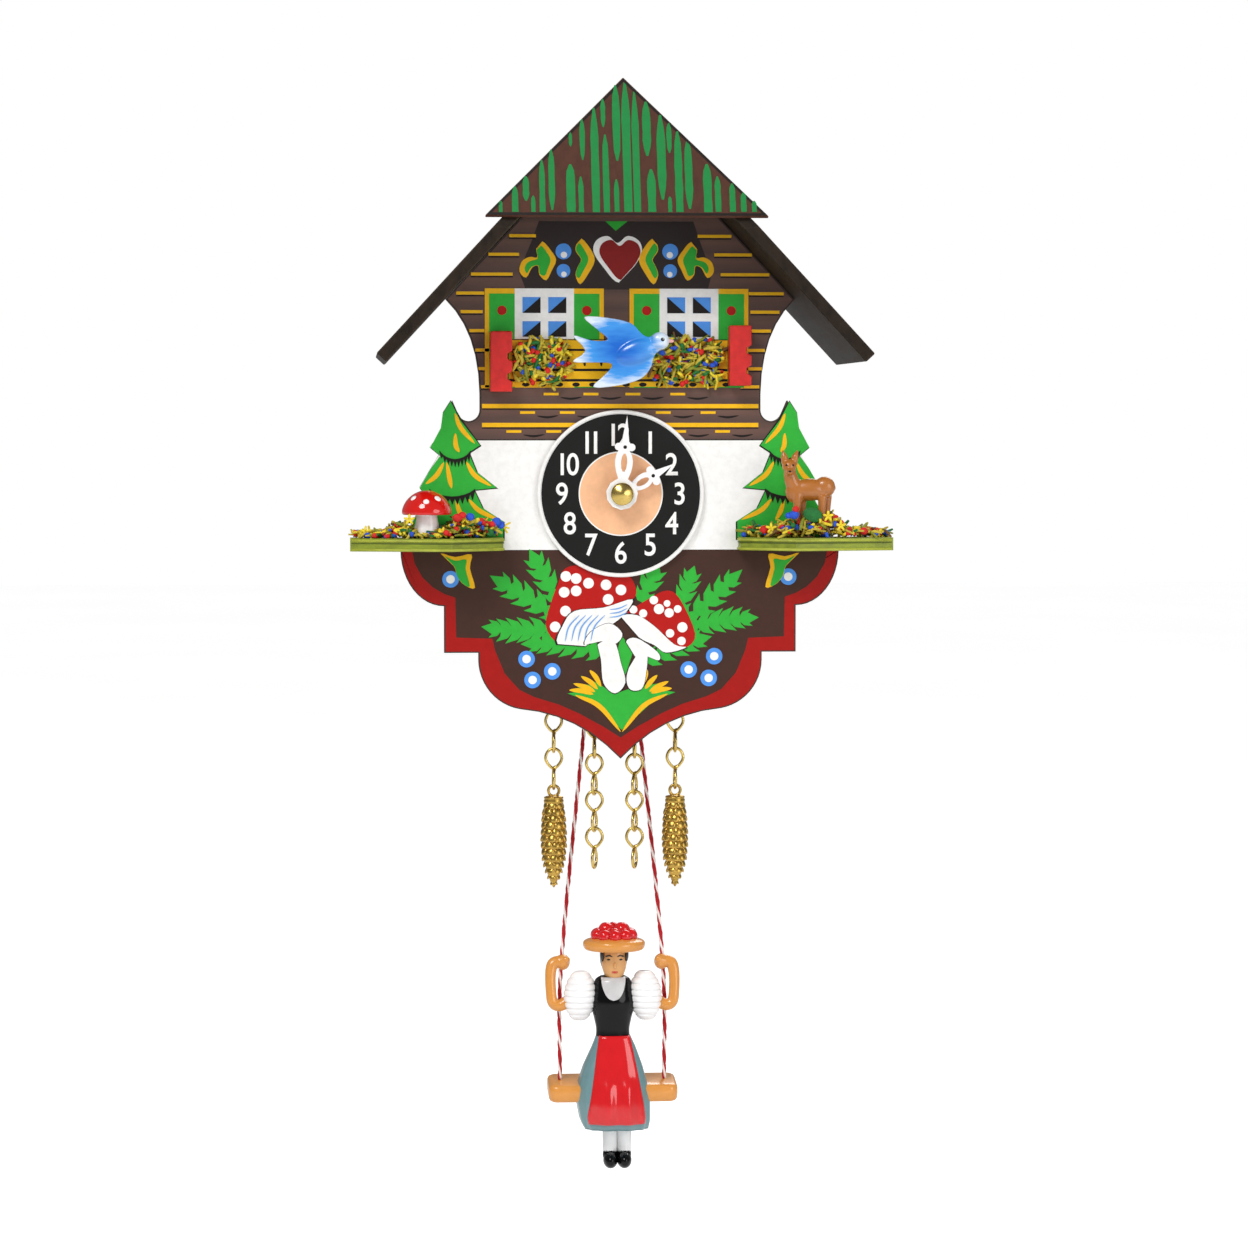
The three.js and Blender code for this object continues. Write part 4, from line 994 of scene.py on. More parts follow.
def add_gradient(mat, centre, reach, near, middle, far):
    """Sprays the colour outward from a centre, with reach as the half sizes of the cloud."""
    tree = mat.node_tree
    cloud = {"Location": Vector(centre) * MM, "Scale": Vector(reach) * MM}
    place = mapped(tree, cloud, vector_type="TEXTURE")
    far_off = node(tree, "VectorMath", {0: place}, operation="LENGTH").outputs["Value"]
    streaks = noise(tree, 900.0, 3.0, mapped(tree, {"Scale": (0.35, 1, 1.6), "Rotation": (0, 0.9, 0)}))
    blurred = node(tree, "Math", {0: streaks, 1: 0.35, 2: far_off}, operation="MULTIPLY_ADD").outputs["Value"]
    colours = ramp(tree, blurred, [(0.3, hex_colour(near)), (0.75, hex_colour(middle)),
                                   (1.0, hex_colour(far))])
    tree.links.new(colours, tree.nodes["Principled BSDF"].inputs["Base Color"])


def make_bird():
    outline = [(10.6, -9.6), (9.6, -11.2), (7.4, -13.2), (6.6, -15.9), (4.4, -18.5), (-0.5, -20.1),
               (-6.9, -20.6), (-4, -17.6), (-2.4, -15.2), (-6.5, -14.9), (-11.7, -14.7), (-8.6, -12.2),
               (-11.6, -8.6), (-7.2, -9.8), (-3.4, -9.6), (-6, -7.2), (-9, -4.4), (-4, -4.5), (1.7, -5.7),
               (4.4, -8.2), (6.2, -9), (8.6, -7.8)]
    back = box_mm("swallow")[0].y + 2.0
    bm = bmesh.new()
    plate(bm, curved(outline, 3), back, 1.5)
    blob(bm, (3.2, back - 1.1, -12.4), (5.2, 1.7, 2.9), turn=Matrix.Rotation(-0.35, 4, "Y"))
    blob(bm, (8.6, back - 1.2, -9.9), (2.3, 1.7, 2.1))
    tube(bm, [(2, back, -12), (2, BOARD_FRONT, -12)], 0.9, 12)
    bird_blue = plastic("bird_blue", "#e2edf8", 0.25)
    add_gradient(bird_blue, (-0.4, back - 1.5, -11.8), (12.5, 40, 10.5), "#0f66cc", "#3f97e6", "#dde9f4")
    moulded("bird", bm, 0.22, 7, [bird_blue], "case", ["swallow"])
    face = bmesh.new()
    eye = Vector((9.1, back - 2.75, -9.6))
    blob(face, eye, (0.5, 0.2, 0.45), 0, 2)
    # a small white dot on the eye, up and to the front: a painted highlight
    blob(face, eye + Vector((0.14, -0.17, 0.14)), (0.13, 0.07, 0.13), 1, 2)
    blob(face, (11.0, back - 1.2, -9.9), (1.0, 0.5, 0.45), 2, 2)
    piece("bird_eye_glint_and_beak", face, [FINISH["line_dark"], FINISH["white_plastic"],
                                      plastic("beak_pink", "#e8a8a4")], "case")


def make_deer():
    y = -39.6
    bm = bmesh.new()
    blob(bm, (43.6, y, -44.3), (5.0, 2.3, 2.6))
    blob(bm, (47.0, y, -43.7), (2.5, 2.1, 2.5))
    blob(bm, (40.4, y, -44.7), (2.6, 2.1, 2.9))
    tube(bm, catmull([(40.2, y, -44), (39.2, y - 0.3, -42), (38.7, y - 0.6, -39.6)], 8),
         lambda t: 2.0 - 0.6 * t, 14)
    blob(bm, (38.6, y - 0.9, -38.9), (1.65, 1.7, 1.6))
    blob(bm, (38.5, y - 2.2, -40.1), (0.85, 1.3, 0.9))
    for x, tip in ((37.8, 37.1), (39.6, 40.7)):
        tube(bm, [(x, y - 0.4, -38.2), ((x + tip) / 2, y - 0.6, -36.4), (tip, y - 0.5, -35.0)],
             lambda t: 0.95 * (1 - t) ** 0.5 + 0.1, 10)
    tube(bm, [(48.8, y, -42.8), (49.5, y, -44.2)], lambda t: 0.5 - 0.25 * t, 10)
    for x, dy in ((40.6, -1.1), (42.0, 1.1), (46.4, -1.1), (47.8, 1.1)):
        tube(bm, [(x, y + dy, -45.6), (x - 0.2, y + dy, -50), (x, y + dy, -54.6)],
             lambda t: 1.1 - 0.5 * t, 10)
    tan = plastic("deer_tan", "#b06a28", 0.35)
    moulded("deer_moulding", bm, 0.22, 3, [tan], "case", ["deer"])
    face = bmesh.new()
    for x in (37.85, 39.35):
        blob(face, (x, y - 2.35, -38.6), (0.27, 0.18, 0.25), 0, 2)
    blob(face, (38.5, y - 3.4, -40.0), (0.36, 0.2, 0.24), 0, 2)
    piece("deer_eyes_and_nose", face, [FINISH["line_dark"]], "case")


def make_mushroom():
    x, y = -45.3, -39.6
    foot = box_mm("mushroom")[0].z
    cap = bmesh.new()
    rows = [(-49.7, 5.0), (-49.95, 5.5), (-49.5, 5.75), (-48.4, 5.6), (-46.9, 4.85), (-45.5, 3.5),
            (-44.6, 1.8), (-44.35, 0.3)]
    turned(cap, x, y, rows, 48)
    red = plastic("cap_gloss", "#cf130d", 0.12)
    piece("mushroom_cap", cap, [red], "case", ["mushroom"])
    stem = bmesh.new()
    rows = [(foot, 3.0), (-53, 2.9), (-51, 2.5), (-49.8, 2.6), (-49.5, 4.6), (-49.45, 4.9)]
    turned(stem, x, y, rows, 40)
    piece("mushroom_stem", stem, [FINISH["white_plastic"]], "case")
    spots = bmesh.new()
    for around, up, size in ((-1.62, 0.55, 0.75), (-0.95, 0.72, 0.85), (-2.45, 0.75, 0.8),
                             (0.4, 0.6, 0.85), (1.7, 0.7, 0.8), (2.9, 0.6, 0.75)):
        out = Vector((math.cos(around) * math.cos(up), math.sin(around) * math.cos(up), math.sin(up)))
        spot = Vector((x, y, -49.6)) + Vector((out.x * 5.55, out.y * 5.55, out.z * 5.1))
        turn = out.to_track_quat("Z", "Y").to_matrix().to_4x4()
        blob(spots, spot, (size, size, 0.22), 0, 2, turn)
    piece("mushroom_spots", spots, [FINISH["white_plastic"]], "case")


make_bird()
make_deer()
make_mushroom()


# ---- dyed dried bits ----
BIT_FINISHES = [finish("bit_" + name, colour, 0.7, speckle=(1400, 0.3), bump=(3000, 0.1))
                for name, colour in (("straw", "#c2ad33"), ("yellow", "#ead02a"), ("olive", "#858a1e"),
                                     ("green", "#146b2a"), ("red", "#cf1812"), ("blue", "#1d4fc4"),
                                     ("brown", "#6b4a20"))]
BIT_SHARES = (0.28, 0.17, 0.12, 0.12, 0.14, 0.12, 0.05)
SHELF_NOSE = 39.7


def straw_bit(bm, rng, centre, mat, flat):
    """A short bent flake, thin and tapering."""
    length = rng.uniform(1.6, 4.2)
    along = Vector((rng.gauss(0, 1), rng.gauss(0, 1) * (0.2 if flat else 0.8),
                    rng.gauss(0, 1) * (1 if flat else 0.4))).normalized()
    bend = Vector((rng.gauss(0, 1), rng.gauss(0, 0.4), rng.gauss(0, 1))) * length * 0.09
    wide = rng.uniform(0.24, 0.5)
    path = [centre - along * length / 2, centre + bend, centre + along * length / 2]
    tube(bm, path, lambda t: wide * (0.4 + 0.6 * math.sin(math.pi * (0.15 + 0.7 * t))), 6, mat)


def pellet(bm, rng, centre, mat):
    """A small dried bud, squashed unevenly."""
    size = rng.uniform(0.42, 0.9)
    turn = Matrix.Rotation(rng.uniform(0, TAU), 4, Vector((rng.gauss(0, 1), rng.gauss(0, 1), 1)).normalized())
    blob(bm, centre, (size, size * rng.uniform(0.6, 1), size * rng.uniform(0.55, 0.95)), mat, 2, turn)


def star(bm, centre, size, mat):
    """A small star flower of five petals, facing the viewer."""
    for k in range(5):
        a = TAU * (k + 0.25) / 5
        out = Vector((math.cos(a), 0, math.sin(a)))
        blob(bm, Vector(centre) + out * size * 0.55, (size * 0.55, size * 0.22, size * 0.26), mat, 2,
             Matrix.Rotation(-a, 4, "Y"))


def scatter(bm, rng, count, place, flat):
    for _ in range(count):
        centre = place(rng)
        mat = rng.choices(range(len(BIT_FINISHES)), BIT_SHARES)[0]
        if mat in (4, 5) or (mat in (1, 3) and rng.random() < 0.35):
            pellet(bm, rng, centre, mat)
        else:
            straw_bit(bm, rng, centre, mat, flat)


def shelf_height(x, mounds):
    return 0.9 + sum(h * math.exp(-((x - at) / w) ** 2) for at, w, h in mounds)


def shelf_front(x):
    """The depth of the shelf's front edge at a distance from the middle of the clock."""
    return -37.5 - (x - 27.6) * 0.7 if x < SHELF_NOSE else -46 + (x - SHELF_NOSE) * 0.236


def make_shelf_bits(side, sign, mounds, keep_off, stars):
    """Bits glued over a shelf in mounds, except where a figure stands, and with a few star flowers."""
    rng = random.Random(11 if sign < 0 else 12)

    def place(rng):
        while True:
            x = rng.uniform(28.2, 62)
            y = rng.uniform(-45, -33)
            front = shelf_front(x)
            if y < front + 0.7:
                continue
            if any((x - kx) ** 2 + (y - ky) ** 2 < kr ** 2 for kx, ky, kr in keep_off):
                continue
            edge = min(1, (y - front) / 2.5)
            top = shelf_height(x, mounds) * (0.3 + 0.7 * edge)
            return Vector((sign * x, y, SHELF_TOP + 0.35 + rng.random() ** 0.6 * top))

    bm = bmesh.new()
    scatter(bm, rng, 520, place, False)
    for x, y, z in stars:
        star(bm, (x, y, z), 1.25, 1)
    piece("bits_shelf_" + side, bm, BIT_FINISHES, "case", ["shelf_flowers_" + side])


def make_window_bits(side, seed):
    """Bits glued flat under a window, thinner towards the corners."""
    low, high = box_mm("window_flowers_" + side)
    rng = random.Random(seed)
    centre = (low + high) / 2
    half = (high - low) / 2

    def place(rng):
        while True:
            u, v = rng.uniform(-1, 1), rng.uniform(-1, 1)
            if u ** 4 + v ** 4 < rng.uniform(0.6, 1.1):
                return Vector((centre.x + u * half.x, rng.uniform(low.y + 0.6, high.y - 0.2),
                               centre.z + v * half.z * 0.94))

    bm = bmesh.new()
    scatter(bm, rng, round(half.x * 34), place, True)
    piece("bits_window_" + side, bm, BIT_FINISHES, "case", ["window_flowers_" + side])


make_shelf_bits("left", -1, ((31.5, 3.5, 2.4), (37.5, 4, 3.2), (51.5, 2.4, 2.2)), ((45.3, -39.6, 2.3),),
                ((-41.6, -44.3, -54.0), (-49.4, -43.6, -51.0), (-59.4, -40, -53.8), (-36.6, -42.4, -50.8)))
make_shelf_bits("right", 1, ((32, 3, 1.2), (39, 3, 2.0), (44, 3.5, 2.8), (49, 2.4, 4.2), (56, 4, 1.0)), (),
                ((34.4, -41, -53.2), (50.4, -43, -52.6), (47.4, -43.2, -50.4)))
make_window_bits("left", 21)
make_window_bits("right", 22)


def make_shelf_sprigs():
    """The larger glued bits: a blue flower with a red head, berries and a broad dark leaf."""
    bm = bmesh.new()
    for x, y, z, size, mat in (
            (39.4, -44.2, -50.0, 1.15, 5), (38.1, -44, -50.2, 0.8, 5), (39.7, -44.6, -48.7, 0.8, 4),
            (-38.4, -43.6, -50.6, 1.1, 4), (-37.2, -43.4, -50.0, 0.9, 4), (-35.4, -42.8, -50.4, 1.0, 5),
            (-29.2, -38.2, -51.6, 1.1, 5), (-28.2, -37.6, -52.4, 1.0, 5), (-30.2, -38.6, -52.2, 0.8, 4),
            (33.0, -39.6, -53.6, 1.1, 4), (56.0, -41, -53.9, 1.0, 4)):
        blob(bm, (x, y, z), (size, size * 0.8, size * 0.9), mat, 3)
    blob(bm, (43.9, -42.8, -50.1), (2.4, 0.5, 1.7), 3, 3, Matrix.Rotation(0.3, 4, "Y"))
    for tip in ((-26.2, -36.8, -53.2), (-25.9, -36.6, -51.9), (-26.6, -37, -54.3)):
        tube(bm, catmull([(-29.6, -37.4, -53.4), (-27.8, -37.2, -52.8), tip], 5), 0.24, 6, 1)
    piece("bits_larger", bm, BIT_FINISHES, "case")


def make_shelf_moulding(side, sign):
    """The shelf's edge is moulded: a bead along the top and a step along the foot, both in a paler olive as
    painted highlight, with a thin dark line between them as painted shade in the groove.
    """
    plan = [(27.5, -33.4), (27.5, -37.6), (SHELF_NOSE, -46.1), (63, -40.6), (63, -33.4)]
    for z, r, colour, part in ((SHELF_TOP - 0.55, 0.32, "olive_painted_highlight", "bead"),
                               (SHELF_TOP - 2.65, 0.32, "olive_painted_highlight", "foot"),
                               (SHELF_TOP - 1.15, 0.16, "olive_painted_shade", "groove_shade_line")):
        bm = bmesh.new()
        tube(bm, [(sign * min(x, 62.6), y + 0.1, z) for x, y in plan], r, 8)
        piece(f"shelf_{part}_{side}", bm, [FINISH[colour]], "case")


# lit and shaded copies of the olive: the paler one is painted highlight on the bead and foot, the darker one
# is painted shade in the groove
FINISH["olive_painted_highlight"] = finish("olive_painted_highlight", "#a3ab36", 0.5, speckle=(600, 0.3), grain=(0.3, 1, 1))
FINISH["olive_painted_shade"] = finish("olive_painted_shade", "#4c5a10", 0.6, speckle=(600, 0.3), grain=(0.3, 1, 1))
make_shelf_sprigs()
for side_name, side_sign in BOTH:
    make_shelf_moulding(side_name, side_sign)


# ---- chains and fir cones ----
WIRE = 0.35
CHAIN_Y = -25.5
LOOP = (1.92, 2.35)
EDGE_ON = math.pi / 2
NEARLY_EDGE_ON = 1.25


def wire_ring(bm, centre, wide, tall, turn, waist=0):
    """One loop of wire, turned about the upright. It narrows above (1), below (-1) or not at all."""
    cx, cy, cz = centre
    pts = []
    for k in range(28):
        a = TAU * k / 28
        narrow = 1 - 0.42 * max(0.0, math.sin(a) * waist) ** 1.5
        across = wide * math.cos(a) * narrow
        pts.append((cx + across * math.cos(turn), cy + across * math.sin(turn), cz + tall * math.sin(a)))
    tube(bm, pts, WIRE, 10, 0, True)


def hung_at(node_name):
    """The middle of a hanging node, and the heights of the wire's centre at its top and foot."""
    low, high = box_mm(node_name)
    return (low.x + high.x) / 2, high.z - WIRE, low.z + WIRE


def make_link(node_name):
    """A wire bent into two loops, with its ends twisted round each other between them."""
    x, top, foot = hung_at(node_name)
    bm = bmesh.new()
    square = "outer" in node_name or node_name.endswith("_1")
    wire_ring(bm, (x, CHAIN_Y, top - LOOP[1]), *LOOP, 0, -1)
    wire_ring(bm, (x, CHAIN_Y, foot + LOOP[1]), *LOOP, EDGE_ON if square else NEARLY_EDGE_ON, 1)
    twist = [(x + 0.34 * math.cos(a), CHAIN_Y + 0.34 * math.sin(a), (top + foot) / 2 + 0.5 - a / 7)
             for a in (k * 0.5 for k in range(15))]
    tube(bm, twist, 0.26, 8)
    piece(node_name + "_wire", bm, [FINISH["brass"]], node_name, [node_name])


def make_eye(node_name):
    """The ring and shank that a chain hangs on."""
    x, top, foot = hung_at(node_name)
    ring_z = foot + LOOP[0]
    bm = bmesh.new()
    wire_ring(bm, (x, CHAIN_Y, ring_z), LOOP[0], LOOP[0], EDGE_ON, 1)
    tube(bm, [(x, CHAIN_Y, ring_z + LOOP[0]), (x, CHAIN_Y, top + WIRE)], WIRE, 10)
    piece(node_name + "_wire", bm, [FINISH["brass"]], "case", [node_name])


# the cone's ring, and its body from shoulder to tip: share of the length, half width
CONE_RING = 1.25
CONE = ((0, 2.2), (0.12, 2.7), (0.32, 3.05), (0.5, 3.05), (0.68, 2.6), (0.84, 1.7), (0.95, 0.75), (1, 0.2))


def cone_radius(share):
    """Half width of the cone at a share of the way from its shoulder to its tip."""
    return between(CONE, share)[0]


def make_cone(node_name):
    """A cast fir cone: a core with rows of overlapping scales, hung on a small eye."""
    x, top, foot = hung_at(node_name)
    bm = bmesh.new()
    wire_ring(bm, (x, CHAIN_Y, top - CONE_RING), CONE_RING, CONE_RING, 0)
    collar = [(top - 4.3, 2.0), (top - 4.05, 2.3), (top - 3.5, 2.35), (top - 3.2, 2.15), (top - 2.95, 2.3),
              (top - 2.7, 2.25), (top - 2.5, 1.6), (top - 2.4, 0.6)]
    turned(bm, x, CHAIN_Y, collar, 32, 1)
    start, length = top - 4.0, top - 4.0 - (foot - WIRE + 0.1)
    core = [(start - length * i / 20, max(0.12, cone_radius(i / 20) * 0.88)) for i in range(21)][::-1]
    turned(bm, x, CHAIN_Y, core, 24, 1)
    rows = 13
    for row in range(rows):
        share = (row + 0.35) / rows
        r = cone_radius(share) * 0.86
        count = max(5, round(TAU * r / 1.9))
        for k in range(count):
            a = TAU * (k + 0.5 * (row % 2)) / count
            out = Vector((math.cos(a), math.sin(a), 0))
            lean = (out * 0.42 + Vector((0, 0, -1))).normalized()
            turn = Matrix((out.cross(lean).normalized(), lean.cross(out.cross(lean)).normalized(), lean))
            size = min(1.0, 0.3 + r / 3.2)
            wide = math.pi * r / count * 1.05
            blob(bm, Vector((x, CHAIN_Y, start - length * share)) + out * r, (wide, 0.4 * size, 1.12 * size),
                 0, 2, turn.transposed().to_4x4())
    piece(node_name + "_scales", bm, [FINISH["old_gold"]], node_name, [node_name])


for node_name in sorted(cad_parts):
    if node_name.startswith("link_"):
        make_link(node_name)
    elif node_name.startswith("chain_eye_"):
        make_eye(node_name)
    elif node_name.startswith("fir_cone_"):
        make_cone(node_name)


# ---- swing seat and doll ----
DOLL = {
    "tan": plastic("doll_tan", "#dd9440", 0.3),
    "skin": plastic("doll_skin", "#d9a060", 0.35),
    "red": plastic("doll_red", "#d5121a", 0.14),
    "black": finish("doll_black", "#08080a", 0.16, coat=0.1, speckle=(350, 0.1), bump=(500, 0.02),
                    shine=0.22),
    "white": plastic("doll_white", "#fbfafa", 0.32),
    "blue": plastic("doll_blue", "#6b8f94", 0.3),
    "hair": plastic("doll_hair", "#1e1613", 0.35),
    "lips": plastic("doll_lips", "#c2352c", 0.3),
}

# the skirt from waist to hem: share of the height, half width, half depth, drift to the right
SKIRT = ((0, 4.1, 3.1, 0.1), (0.13, 5.3, 3.8, 0.2), (0.33, 7.1, 5.0, 0), (0.53, 8.4, 6.0, -0.1),
         (0.72, 8.8, 6.5, 0.1), (0.91, 8.4, 6.6, 0.5), (1, 7.7, 6.3, 0.75))
SKIRT_TOP, SKIRT_DROP = -174.6, 21.9
KNEES = (-1.3, 3.1)
SKIRT_SQUARE = 0.66


def squared(value, power):
    """A sine or cosine pushed outward, which turns an oval into a rounded box."""
    return math.copysign(abs(value) ** power, value)


def skirt_point(angle, share, proud=0.0):
    """A point on the skirt. Two knees push its front out, with a fold hanging between them."""
    rx, ry, drift = between(SKIRT, share)
    fold = 0.14 * share * math.sin(angle * 13)
    x = drift + (rx + fold + proud) * squared(math.cos(angle), SKIRT_SQUARE)
    y = (ry + fold + proud) * squared(math.sin(angle), SKIRT_SQUARE)
    if y < 0:
        for knee in KNEES:
            y -= 1.1 * math.exp(-((x - knee) / 1.7) ** 2) * math.exp(-((share - 0.72) / 0.26) ** 4)
    return Vector((HANG_X + x, DOLL_Y + y, SKIRT_TOP - SKIRT_DROP * share))


def grid_skin(bm, rows, mat=0, closed=False):
    """A skin over rows of points, each row joined to the next."""
    made = [[bm.verts.new(p) for p in row] for row in rows]
    for low, high in zip(made, made[1:]):
        count = len(low)
        for k in range(count if closed else count - 1):
            face = bm.faces.new((low[k], high[k], high[(k + 1) % count], low[(k + 1) % count]))
            face.material_index = mat
    return made


def make_skirt():
    bm = bmesh.new()
    around = 96
    rows = [[skirt_point(TAU * k / around, i / 26) for k in range(around)] for i in range(27)]
    inside = [[Vector((HANG_X + (p.x - HANG_X) * 0.9, DOLL_Y + (p.y - DOLL_Y) * 0.9, p.z + 0.5))
               for p in rows[-1]]]
    made = grid_skin(bm, rows + inside, closed=True)
    bm.faces.new(made[0])
    bm.faces.new(made[-1][::-1])
    piece("doll_skirt", bm, [DOLL["blue"]], "swing", ["doll"])


def make_apron():
    """The glossy apron lies on the skirt's front and widens towards the hem."""
    bm = bmesh.new()
    rows = []
    for i in range(33):
        share = -0.014 + 0.944 * i / 32
        rx, _, drift = between(SKIRT, share)
        half = 3.8 + 3.7 * share - 0.52 / 0.07 * max(0, share - 0.86)
        middle = 0.3 + 0.4 * share - drift
        left, right = (max(-0.97, min(0.97, (middle + side * half) / rx)) for side in (-1, 1))
        row = []
        for k in range(49):
            u = k / 48
            side = left + (right - left) * u
            proud = 0.42 * (1 - abs(u * 2 - 1) ** 10)
            row.append(skirt_point(-math.acos(squared(side, 1 / SKIRT_SQUARE)), share, proud))
        rows.append(row)
    rows.append([p + Vector((0, 0.5, -0.1)) for p in rows[-1]])
    grid_skin(bm, rows)
    bmesh.ops.recalc_face_normals(bm, faces=bm.faces)
    bmesh.ops.solidify(bm, geom=bm.faces[:], thickness=0.3)
    piece("doll_apron", bm, [DOLL["red"]], "swing")


# the torso from waist to neck: height, half width, half depth
TORSO = ((-175.2, 4.1, 3.2), (-172.9, 4.0, 3.1), (-170.3, 4.5, 3.5), (-166.8, 5.3, 4.4),
         (-163.5, 4.9, 3.8), (-161.2, 4.2, 3.0), (-160.3, 3.0, 2.2))


def make_torso():
    bm = bmesh.new()
    rows = smooth_rows([(z, HANG_X, DOLL_Y, rx, ry) for z, rx, ry in TORSO], 6)
    loft(bm, rows, 48)
    piece("doll_bodice", bm, [DOLL["black"]], "swing")
    blouse = bmesh.new()
    rows = []
    for i in range(19):
        v = i / 18
        z = -165.7 + 5.3 * v
        rx, ry = between(TORSO, z)
        half = 2.85 * math.sqrt(1 - (1 - v) ** 2) + 0.05
        row = []
        for k in range(21):
            x = half * (k / 20 * 2 - 1)
            y = -ry * math.sqrt(max(0.0, 1 - (x / (rx + 0.2)) ** 2)) - 0.22
            row.append(Vector((HANG_X + x, DOLL_Y + y, z)))
        rows.append(row)
    grid_skin(blouse, rows)
    bmesh.ops.solidify(blouse, geom=blouse.faces[:], thickness=0.2)
    piece("doll_blouse", blouse, [DOLL["white"]], "swing")


def make_head():
    """A plain round-featured doll's head with dark hair."""
    x = HANG_X + 0.3
    skin = bmesh.new()
    rows = [(-163, 1.5, 1.4), (-161.8, 1.3, 1.4), (-161.4, 1.3, 1.8), (-160.4, 2.1, 2.4),
            (-158.4, 2.85, 2.8), (-156.2, 3.05, 2.9), (-154.2, 2.9, 2.75), (-152.8, 2.0, 2.0)]
    loft(skin, smooth_rows([(z, x, DOLL_Y - 0.2, rx, ry) for z, rx, ry in rows], 5), 40)
    front = DOLL_Y - 3.0
    blob(skin, (x, front - 0.05, -157.5), (0.38, 0.5, 0.8))
    piece("doll_head", skin, [DOLL["skin"]], "swing")
    hair = bmesh.new()
    blob(hair, (x, DOLL_Y + 1.0, -156.4), (3.3, 2.6, 3.9))
    for sign in (-1, 1):
        blob(hair, (x + sign * 2.85, DOLL_Y - 0.7, -155.2), (0.6, 1.7, 1.7))
    piece("doll_hair_cap", hair, [DOLL["hair"]], "swing")
    marks = bmesh.new()
    for sign in (-1, 1):
        blob(marks, (x + sign * 1.3, front + 0.3, -156.1), (0.62, 0.24, 0.24), 0, 2)
        tube(marks, catmull([(x + sign * dx, front + dy, z) for dx, dy, z in
                             ((0.55, 0.12, -155.4), (1.3, 0.2, -155.15), (2.15, 0.6, -155.4))], 4), 0.2, 6)
    for dz in (0.14, -0.14):
        blob(marks, (x, front + 0.3, -159.1 + dz), (0.85, 0.3, 0.19), 1, 2)
    piece("doll_face_marks", marks, [DOLL["hair"], DOLL["lips"]], "swing")


def make_hat():
    brim = bmesh.new()
    rows = [(-154.1, 5.6), (-154, 6.7), (-153.4, 7.25), (-152.5, 7.4), (-151.8, 7.0), (-151.3, 5.6),
            (-150.8, 4.2), (-149.6, 3.6), (-149.2, 2.0)]
    turned(brim, HANG_X + 0.3, DOLL_Y, rows, 56, squash=0.92)
    piece("doll_hat", brim, [DOLL["tan"]], "swing")
    balls = bmesh.new()
    places = [(-1.9, -0.2, -149.4, 1.95), (1.9, -0.2, -149.4, 1.95), (0, 2.0, -149.6, 1.9),
              (0, -2.2, -150.2, 1.6)]
    for k in range(10):
        a = TAU * (k + 0.5) / 10
        places.append((4.1 * math.cos(a), 3.6 * math.sin(a), -150.6, 1.65))
    for x, y, z, r in places:
        blob(balls, (HANG_X + 0.3 + x, DOLL_Y + y, z), (r, r, r))
    for vert in balls.verts:
        ripple = math.sin(vert.co.x * 5.2) * math.sin(vert.co.y * 5.2) * math.sin(vert.co.z * 5.2)
        vert.co.z += 0.09 * ripple
    piece("doll_hat_pompoms", balls, [DOLL["red"]], "swing")


def make_arms():
    """Ribbed puff sleeves, and arms that bend up to fists closed round the ropes."""
    sleeves, arms = bmesh.new(), bmesh.new()
    for sign in (-1, 1):
        rows = []
        for i in range(97):
            v = i / 96
            rib = 1 - 0.09 * (1 - abs(math.sin(math.pi * 8 * v))) ** 2
            r = math.sin(math.pi * (0.05 + 0.9 * v)) ** 0.5 * 3.98 * rib
            x = HANG_X + sign * (7.6 + 0.4 * (1 - v))
            rows.append((-170.8 + 11.6 * v, x, DOLL_Y, r, r * 0.95))
        loft(sleeves, rows, 48)
        path = [(10.2, -2.0, -166.0), (12.6, -2.2, -167.4), (14.3, -2.2, -166.6), (14.75, -1.8, -163.5),
                (14.75, -1.0, -159.8), (14.1, -0.4, -157.6), (12.2, 0, -157.1)]
        tube(arms, catmull([(HANG_X + sign * px, SWING_Y + py, pz) for px, py, pz in path], 7),
             lambda t: 1.38 + 0.1 * math.cos(TAU * t), 18)
        blob(arms, (HANG_X + sign * 11.8, SWING_Y, -157.3), (1.75, 1.9, 1.95))
        blob(arms, (HANG_X + sign * 11.1, SWING_Y - 1.2, -156.6), (1.0, 0.9, 0.9))
    piece("doll_sleeves", sleeves, [DOLL["white"]], "swing")
    moulded("doll_arms", arms, 0.2, 4, [DOLL["tan"]], "swing", [])


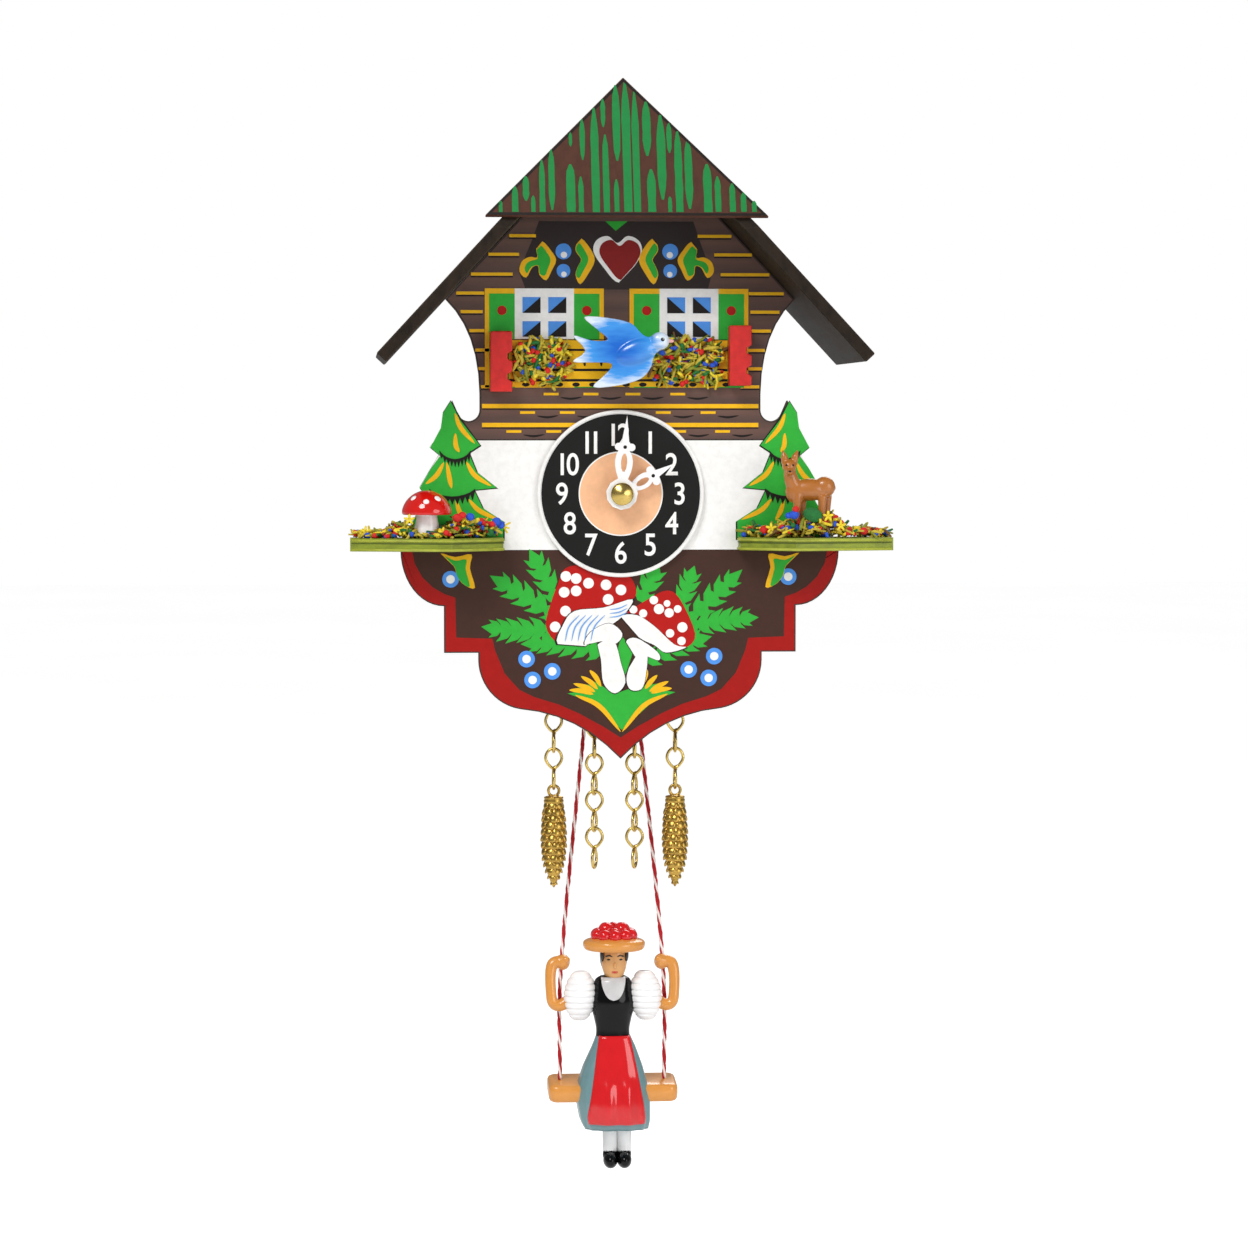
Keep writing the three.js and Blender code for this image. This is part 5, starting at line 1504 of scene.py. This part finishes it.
def make_legs():
    socks, shoes = bmesh.new(), bmesh.new()
    for sign in (-1, 1):
        x = HANG_X + 1.0 + sign * 1.66
        start = len(socks.verts)
        rows = [(-202.4, 1.6, 1.7), (-200.6, 1.66, 1.75), (-198.5, 1.72, 1.85), (-194.4, 1.7, 1.8)]
        loft(socks, smooth_rows([(z, x, DOLL_Y, rx, ry) for z, rx, ry in rows], 6), 48)
        socks.verts.ensure_lookup_table()
        for i, vert in enumerate(socks.verts[start:]):
            out = Vector((vert.co.x - x, vert.co.y - DOLL_Y, 0))
            vert.co += out.normalized() * 0.07 * math.cos(math.pi * i)
        blob(shoes, (x, DOLL_Y - 1.5, -204.3), (1.75, 3.2, 2.0))
        blob(shoes, (x, DOLL_Y, -203.2), (1.78, 2.0, 2.2))
    piece("doll_socks", socks, [DOLL["white"]], "swing")
    piece("doll_shoes", shoes, [DOLL["black"]], "swing")


make_skirt()
make_apron()
make_torso()
make_head()
make_hat()
make_arms()
make_legs()


def make_seat():
    """The moulded seat: a thick board with well rounded corners and edges, tipped forward a little."""
    half = (15.4, 6.2)
    corner, thick, tilt = 2.2, 4.2, 0.1
    rows = []
    for z, pull in ((-0.5, 0.9), (-0.44, 0.35), (-0.3, 0.05), (0, 0), (0.3, 0.05), (0.44, 0.35), (0.5, 0.9)):
        ring = []
        for k in range(48):
            a = TAU * k / 48
            cx = math.copysign(half[0] - corner, math.cos(a))
            cy = math.copysign(half[1] - corner, math.sin(a))
            r = corner - pull
            ring.append(Vector((cx + r * math.cos(a), cy + r * math.sin(a), z * thick)))
        rows.append(ring)
    bm = bmesh.new()
    made = grid_skin(bm, rows, closed=True)
    bm.faces.new(made[0])
    bm.faces.new(made[-1][::-1])
    bmesh.ops.recalc_face_normals(bm, faces=bm.faces)
    bmesh.ops.rotate(bm, verts=bm.verts, matrix=Matrix.Rotation(tilt, 3, "X"))
    bmesh.ops.translate(bm, verts=bm.verts, vec=(HANG_X, SWING_Y, -187.6))
    piece("seat_moulding", bm, [DOLL["tan"]], "swing", ["swing_seat"])


make_seat()
